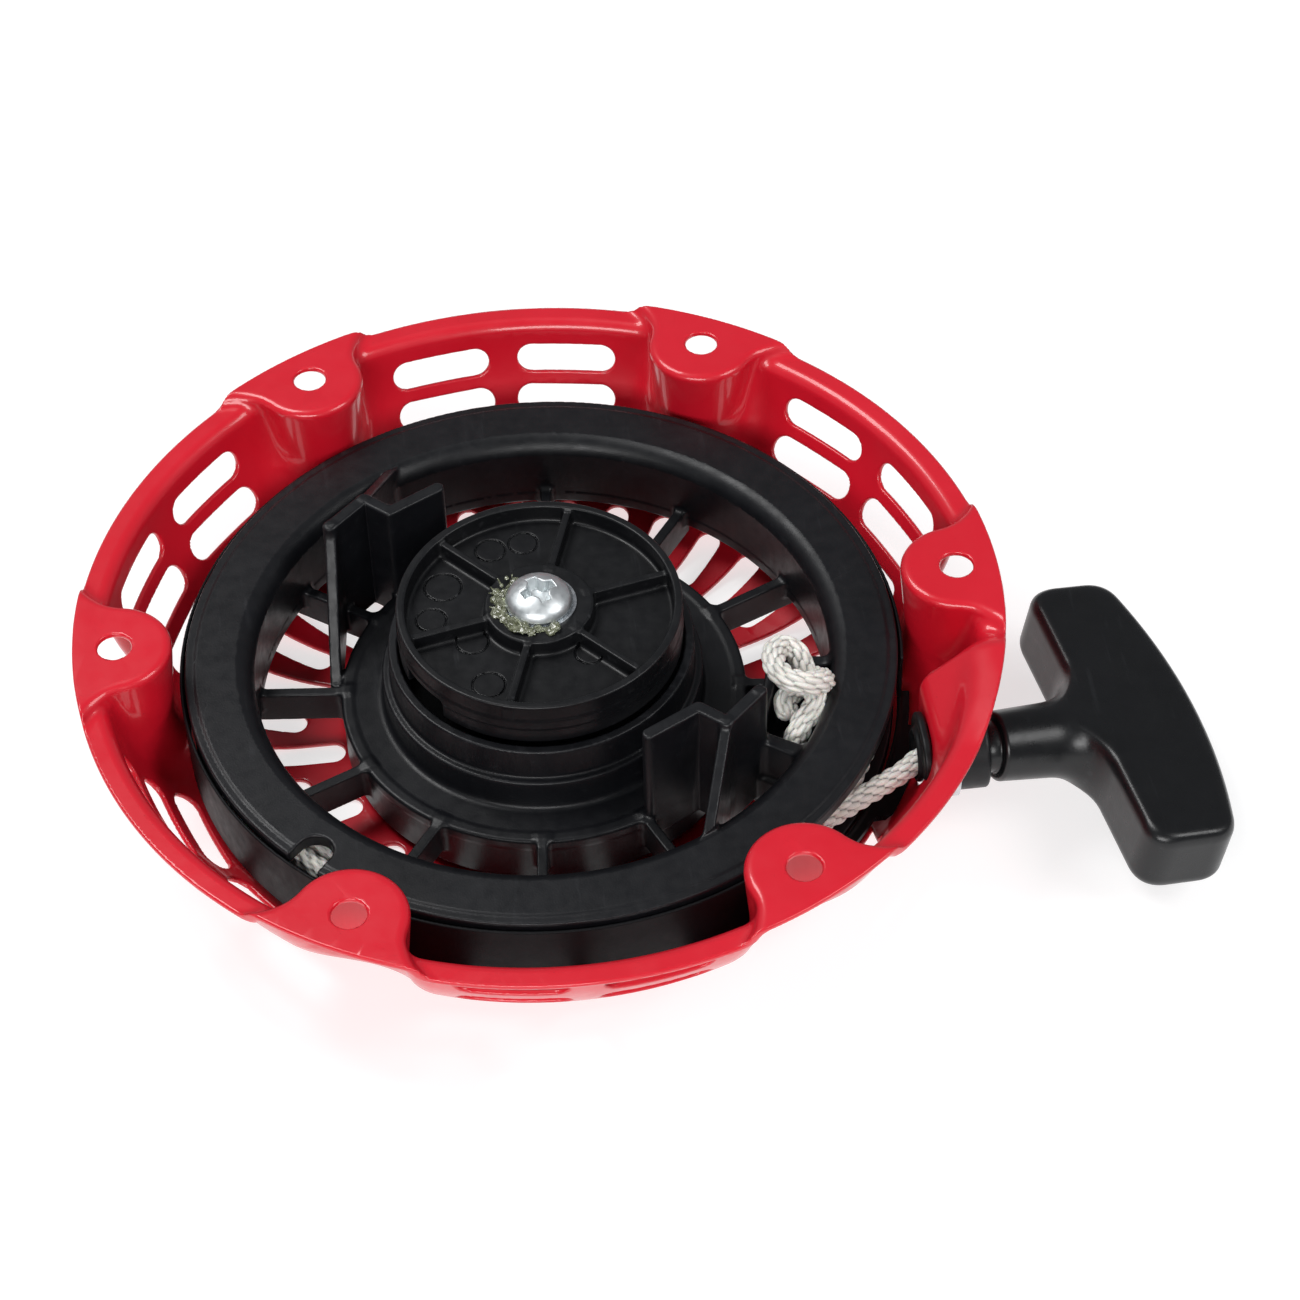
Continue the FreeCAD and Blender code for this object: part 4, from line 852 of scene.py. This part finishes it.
def white_nylon():
    """Fibrous rope, a little stained, with painted shade in the dips of its braid."""
    made, tree, shader, coords = material("white_nylon", IOR=1.53, Sheen_Weight=0.35, Sheen_Roughness=0.4,
                                          Subsurface_Weight=0.12, Subsurface_Scale=0.0012)
    fibre = noise(tree, coords, 5.0, 3.0, 0.6)
    stain = span(tree, noise(tree, coords, 0.22, 4.0), 0.42, 0.75, 0.0, 0.55)
    tone = blend_colour(tree, span(tree, fibre, 0.3, 0.7, 0.0, 1.0), (0.70, 0.68, 0.62), (0.90, 0.89, 0.85))
    tone = blend_colour(tree, stain, tone, (0.62, 0.59, 0.51))
    # painted shade: the braid's hollows, found from pointiness, are darkened nearly to black
    dip_shade = span(tree, tree.nodes.new("ShaderNodeNewGeometry").outputs["Pointiness"], 0.41, 0.505, 0.95, 0.0)
    tone = blend_colour(tree, dip_shade, tone, (0.11, 0.105, 0.095))
    link(tree, tone, shader.inputs["Base Color"])
    link(tree, span(tree, fibre, 0.3, 0.7, 0.42, 0.62), shader.inputs["Roughness"])
    link(tree, bump(tree, fibre, 0.6, 0.12), shader.inputs["Normal"])
    return made


def dried_locker():
    """Dried compound, partly clear, patchy and glossy."""
    made, tree, shader, coords = material("dried_locker", IOR=1.5, Transmission_Weight=0.60, Coat_Weight=0.8,
                                          Coat_Roughness=0.06)
    patch = span(tree, noise(tree, coords, 1.2, 4.0), 0.38, 0.62, 0.0, 1.0)
    link(tree, blend_colour(tree, patch, (0.11, 0.12, 0.05), (0.46, 0.48, 0.34)), shader.inputs["Base Color"])
    link(tree, span(tree, noise(tree, coords, 2.0, 3.0), 0.3, 0.7, 0.08, 0.34), shader.inputs["Roughness"])
    link(tree, bump(tree, noise(tree, coords, 2.5, 3.0), 0.5, 0.10), shader.inputs["Normal"])
    return made


RED = red_paint()
REEL_BLACK = moulded("reel_nylon", (0.0040, 0.0043, 0.0055), (0.020, 0.021, 0.024), 0.32, 0.46, 3.2, 0.05)
DISC_BLACK = moulded("disc_acetal", (0.0036, 0.0038, 0.0046), (0.030, 0.031, 0.034), 0.30, 0.44, 4.0, 0.03)
GUIDE_BLACK = moulded("guide_nylon", (0.0036, 0.0038, 0.0046), (0.018, 0.019, 0.021), 0.34, 0.48, 3.0, 0.05)
GRIP_BLACK = moulded("grip_plastic", (0.0034, 0.0036, 0.0042), (0.016, 0.017, 0.019), 0.26, 0.34, 2.6,
                     0.035, 0.42)
SHROUD_BLACK = moulded("shroud_nylon", (0.0030, 0.0032, 0.0038), (0.010, 0.0105, 0.012), 0.42, 0.55, 3.0,
                       0.04, 0.14)
BRIGHT = steel("bright_zinc", (0.78, 0.81, 0.82), (0.62, 0.66, 0.67), 0.36, 0.50, (1.0, 1.0, 1.0), 0.02)
ZINC = steel("zinc_steel", (0.74, 0.76, 0.78), (0.52, 0.54, 0.57), 0.16, 0.34, (1.0, 1.0, 1.0))
SPRING = steel("spring_steel", (0.30, 0.31, 0.34), (0.16, 0.17, 0.20), 0.28, 0.45, (1.0, 1.0, 0.1))
NYLON = white_nylon()
LOCKER = dried_locker()


# ------------------------------------------------------------------ the pieces
def finish_piece(obj, body, nodes, look):
    """Give a piece its material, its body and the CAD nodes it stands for."""
    obj.data.materials.clear()
    obj.data.materials.append(look)
    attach(obj, body)
    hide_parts(*nodes)
    return obj


def into_grip_frame():
    yaw = Matrix.Rotation(math.radians(GRIP_YAW), 4, "Z")
    droop = Matrix.Rotation(math.radians(GRIP_DROOP), 4, "Y")
    return Matrix.Translation(Vector((GUIDE_END + 1.7, ROPE_Y, ROPE_Z))) @ yaw @ droop


GRIP_FRAME = into_grip_frame()


def on_grip(u, v=0.0, w=0.0):
    return tuple(GRIP_FRAME @ Vector((u, v, w)))


COARSE = 1.0

housing = modelled("pressed_housing", housing_field, (-95.5, -95.5, -41), (95.5, 95.5, 1.5), 0.5 * COARSE,
                   190000)
finish_piece(housing, "housing", ["housing"], RED)

reel = modelled("rope_reel", reel_field, (-74.5, -74.5, -37.5), (74.5, 74.5, 1.2), 0.45 * COARSE, 190000)
finish_piece(reel, "reel", ["reel", "reel_web", "reel_rim", "drive_dog_near", "drive_dog_far"], REEL_BLACK)

disc = modelled("retaining_plate", disc_field, (-30, -30, -10), (30, 30, 2), 0.3 * COARSE, 120000)
finish_piece(disc, "housing", ["retaining_disc"], DISC_BLACK)

screw = modelled("cross_screw", screw_field, (-7.8, -7.8, -25), (7.8, 7.8, 6.4), 0.14 * COARSE, 60000)
finish_piece(screw, "housing", ["centre_screw"], BRIGHT)

locker = modelled("locker_residue", locker_field, (-11.5, -11.5, 0.2), (11.5, 11.5, 3.6), 0.13 * COARSE,
                  40000)
finish_piece(locker, "housing", ["thread_locker"], LOCKER)

guide = modelled("guide_bush", guide_field, (69, -45, -29.5), (87, -21, -9), 0.25 * COARSE, 70000)
finish_piece(guide, "housing", ["rope_guide"], GUIDE_BLACK)

shroud = modelled("rope_shroud", shroud_field, (-75, -77, -29), (77, 75, -11.5), 0.36 * COARSE, 90000)
finish_piece(shroud, "housing", ["reel_shroud"], SHROUD_BLACK)

grip = modelled("pull_handle", grip_field, (-6.5, -37.5, -9.5), (44, 37.5, 9.5), 0.45 * COARSE, 110000)
grip.data.transform(Matrix.Scale(MM, 4) @ GRIP_FRAME @ Matrix.Scale(1 / MM, 4))
finish_piece(grip, "grip", ["grip"], GRIP_BLACK)

coil = rope("wound_rope", coil_route(), 0.64, 36)
finish_piece(coil, "reel", ["rope_coil"], NYLON)
run = rope("guided_rope", run_route(), 0.24, 64)
finish_piece(run, "housing", ["rope_run"], NYLON)
knot = rope("reel_knot", KNOT_ROUTE, 0.24, 64, 2.55, True)
finish_piece(knot, "reel", ["rope_knot"], NYLON)
lead_route = [(GUIDE_END - 3.6, ROPE_Y, ROPE_Z), (GUIDE_END - 1.0, ROPE_Y, ROPE_Z), on_grip(2.0),
              on_grip(12.0), on_grip(25.5)]
lead = rope("grip_rope", lead_route, 0.24, 48, 2.25)
lead.data.materials.append(NYLON)
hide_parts("rope_lead")
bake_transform(lead)

KNOB = [(25.2, 0, 0), (27.2, 0.6, 1.2), (29.0, 2.8, 1.6), (31.5, 3.2, -0.6), (33.6, 0.8, -2.6),
        (33.0, -2.4, -2.0), (30.6, -3.4, 0.4), (28.6, -1.8, 2.6), (30.2, 1.2, 3.2), (33.4, 2.0, 1.8),
        (35.6, 0.2, 0.4)]
knob = rope("handle_knot", [on_grip(*spot) for spot in KNOB], 0.3, 40, 2.0, True)
finish_piece(knob, "grip", ["grip_knot"], NYLON)

# the small turned, pressed and coiled pieces keep their CAD shapes
PLAIN_NODES = (
    (ZINC, ("centre_post", "screw_washer", "thrust_washer", "guide_clip", "grip_washer", "spring_pin")),
    (SPRING, ("recoil_spring", "friction_spring")),
)
for look, nodes in PLAIN_NODES:
    for node in nodes:
        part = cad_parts[node]
        part.data.materials.clear()
        part.data.materials.append(look)


# ------------------------------------------------------------------ floor, light and camera
def area(name, spot, size_x, size_y, power):
    """Rectangular lamp that faces the object."""
    lamp = bpy.data.lights.new(name, "AREA")
    lamp.shape = "RECTANGLE"
    lamp.size = size_x
    lamp.size_y = size_y
    lamp.energy = power
    obj = bpy.data.objects.new(name, lamp)
    obj.location = spot
    obj.rotation_euler = (-Vector(spot)).to_track_quat("-Z", "Y").to_euler()
    bpy.context.scene.collection.objects.link(obj)


def floor_look():
    made, tree, shader, coords = material("floor", Roughness=0.9)
    shade = span(tree, noise(tree, coords, 0.004, 2.0), 0.3, 0.7, 0.0, 1.0)
    link(tree, blend_colour(tree, shade, (0.44, 0.44, 0.44), (0.47, 0.47, 0.47)), shader.inputs["Base Color"])
    shader.inputs["Emission Color"].default_value = (1.0, 1.0, 1.0, 1.0)
    shader.inputs["Emission Strength"].default_value = 0.66
    return made


plane = bpy.data.meshes.new("floor")
plane.from_pydata([(-3, -3, 0), (3, -3, 0), (3, 3, 0), (-3, 3, 0)], [], [(0, 1, 2, 3)])
floor = new_object("floor", plane)
floor.location.z = cad_low[2] - 0.0002
plane.materials.append(floor_look())

world = bpy.data.worlds.new("studio")
world.use_nodes = True
world.node_tree.nodes["Background"].inputs["Color"].default_value = (0.92, 0.95, 1.0, 1.0)
world.node_tree.nodes["Background"].inputs["Strength"].default_value = 0.22
bpy.context.scene.world = world
bpy.context.scene.view_settings.view_transform = "Standard"

area("key", (-0.45, 0.35, 0.95), 0.5, 0.5, 7.0)
area("fill", (0.75, -0.35, 0.80), 0.5, 0.5, 4.8)
area("front", (-0.30, -1.0, 0.60), 0.8, 0.4, 9.0)

camera_data = bpy.data.cameras.new("camera")
camera = bpy.data.objects.new("camera", camera_data)
bpy.context.scene.collection.objects.link(camera)
bpy.context.scene.camera = camera
AZIMUTH, ELEVATION, ROLL = math.radians(-6.0), math.radians(47.14), math.radians(-1.23)
SHIFT_RIGHT, SHIFT_UP, DISTANCE = 22.37, -9.10, 653.7
back = Vector((math.sin(AZIMUTH) * math.cos(ELEVATION), -math.cos(AZIMUTH) * math.cos(ELEVATION),
               math.sin(ELEVATION)))
right = Vector((math.cos(AZIMUTH), math.sin(AZIMUTH), 0))
up = back.cross(right)
tilt_right = right * math.cos(ROLL) + up * math.sin(ROLL)
tilt_up = up * math.cos(ROLL) - right * math.sin(ROLL)
spot = (tilt_right * SHIFT_RIGHT + tilt_up * SHIFT_UP + back * DISTANCE) * MM
camera.matrix_world = Matrix.Translation(spot) @ Matrix((tilt_right, tilt_up, back)).transposed().to_4x4()
camera_data.lens = 89.64
camera_data.sensor_width = 36.0
camera_data.clip_start = 0.01
camera_data.clip_end = 20.0
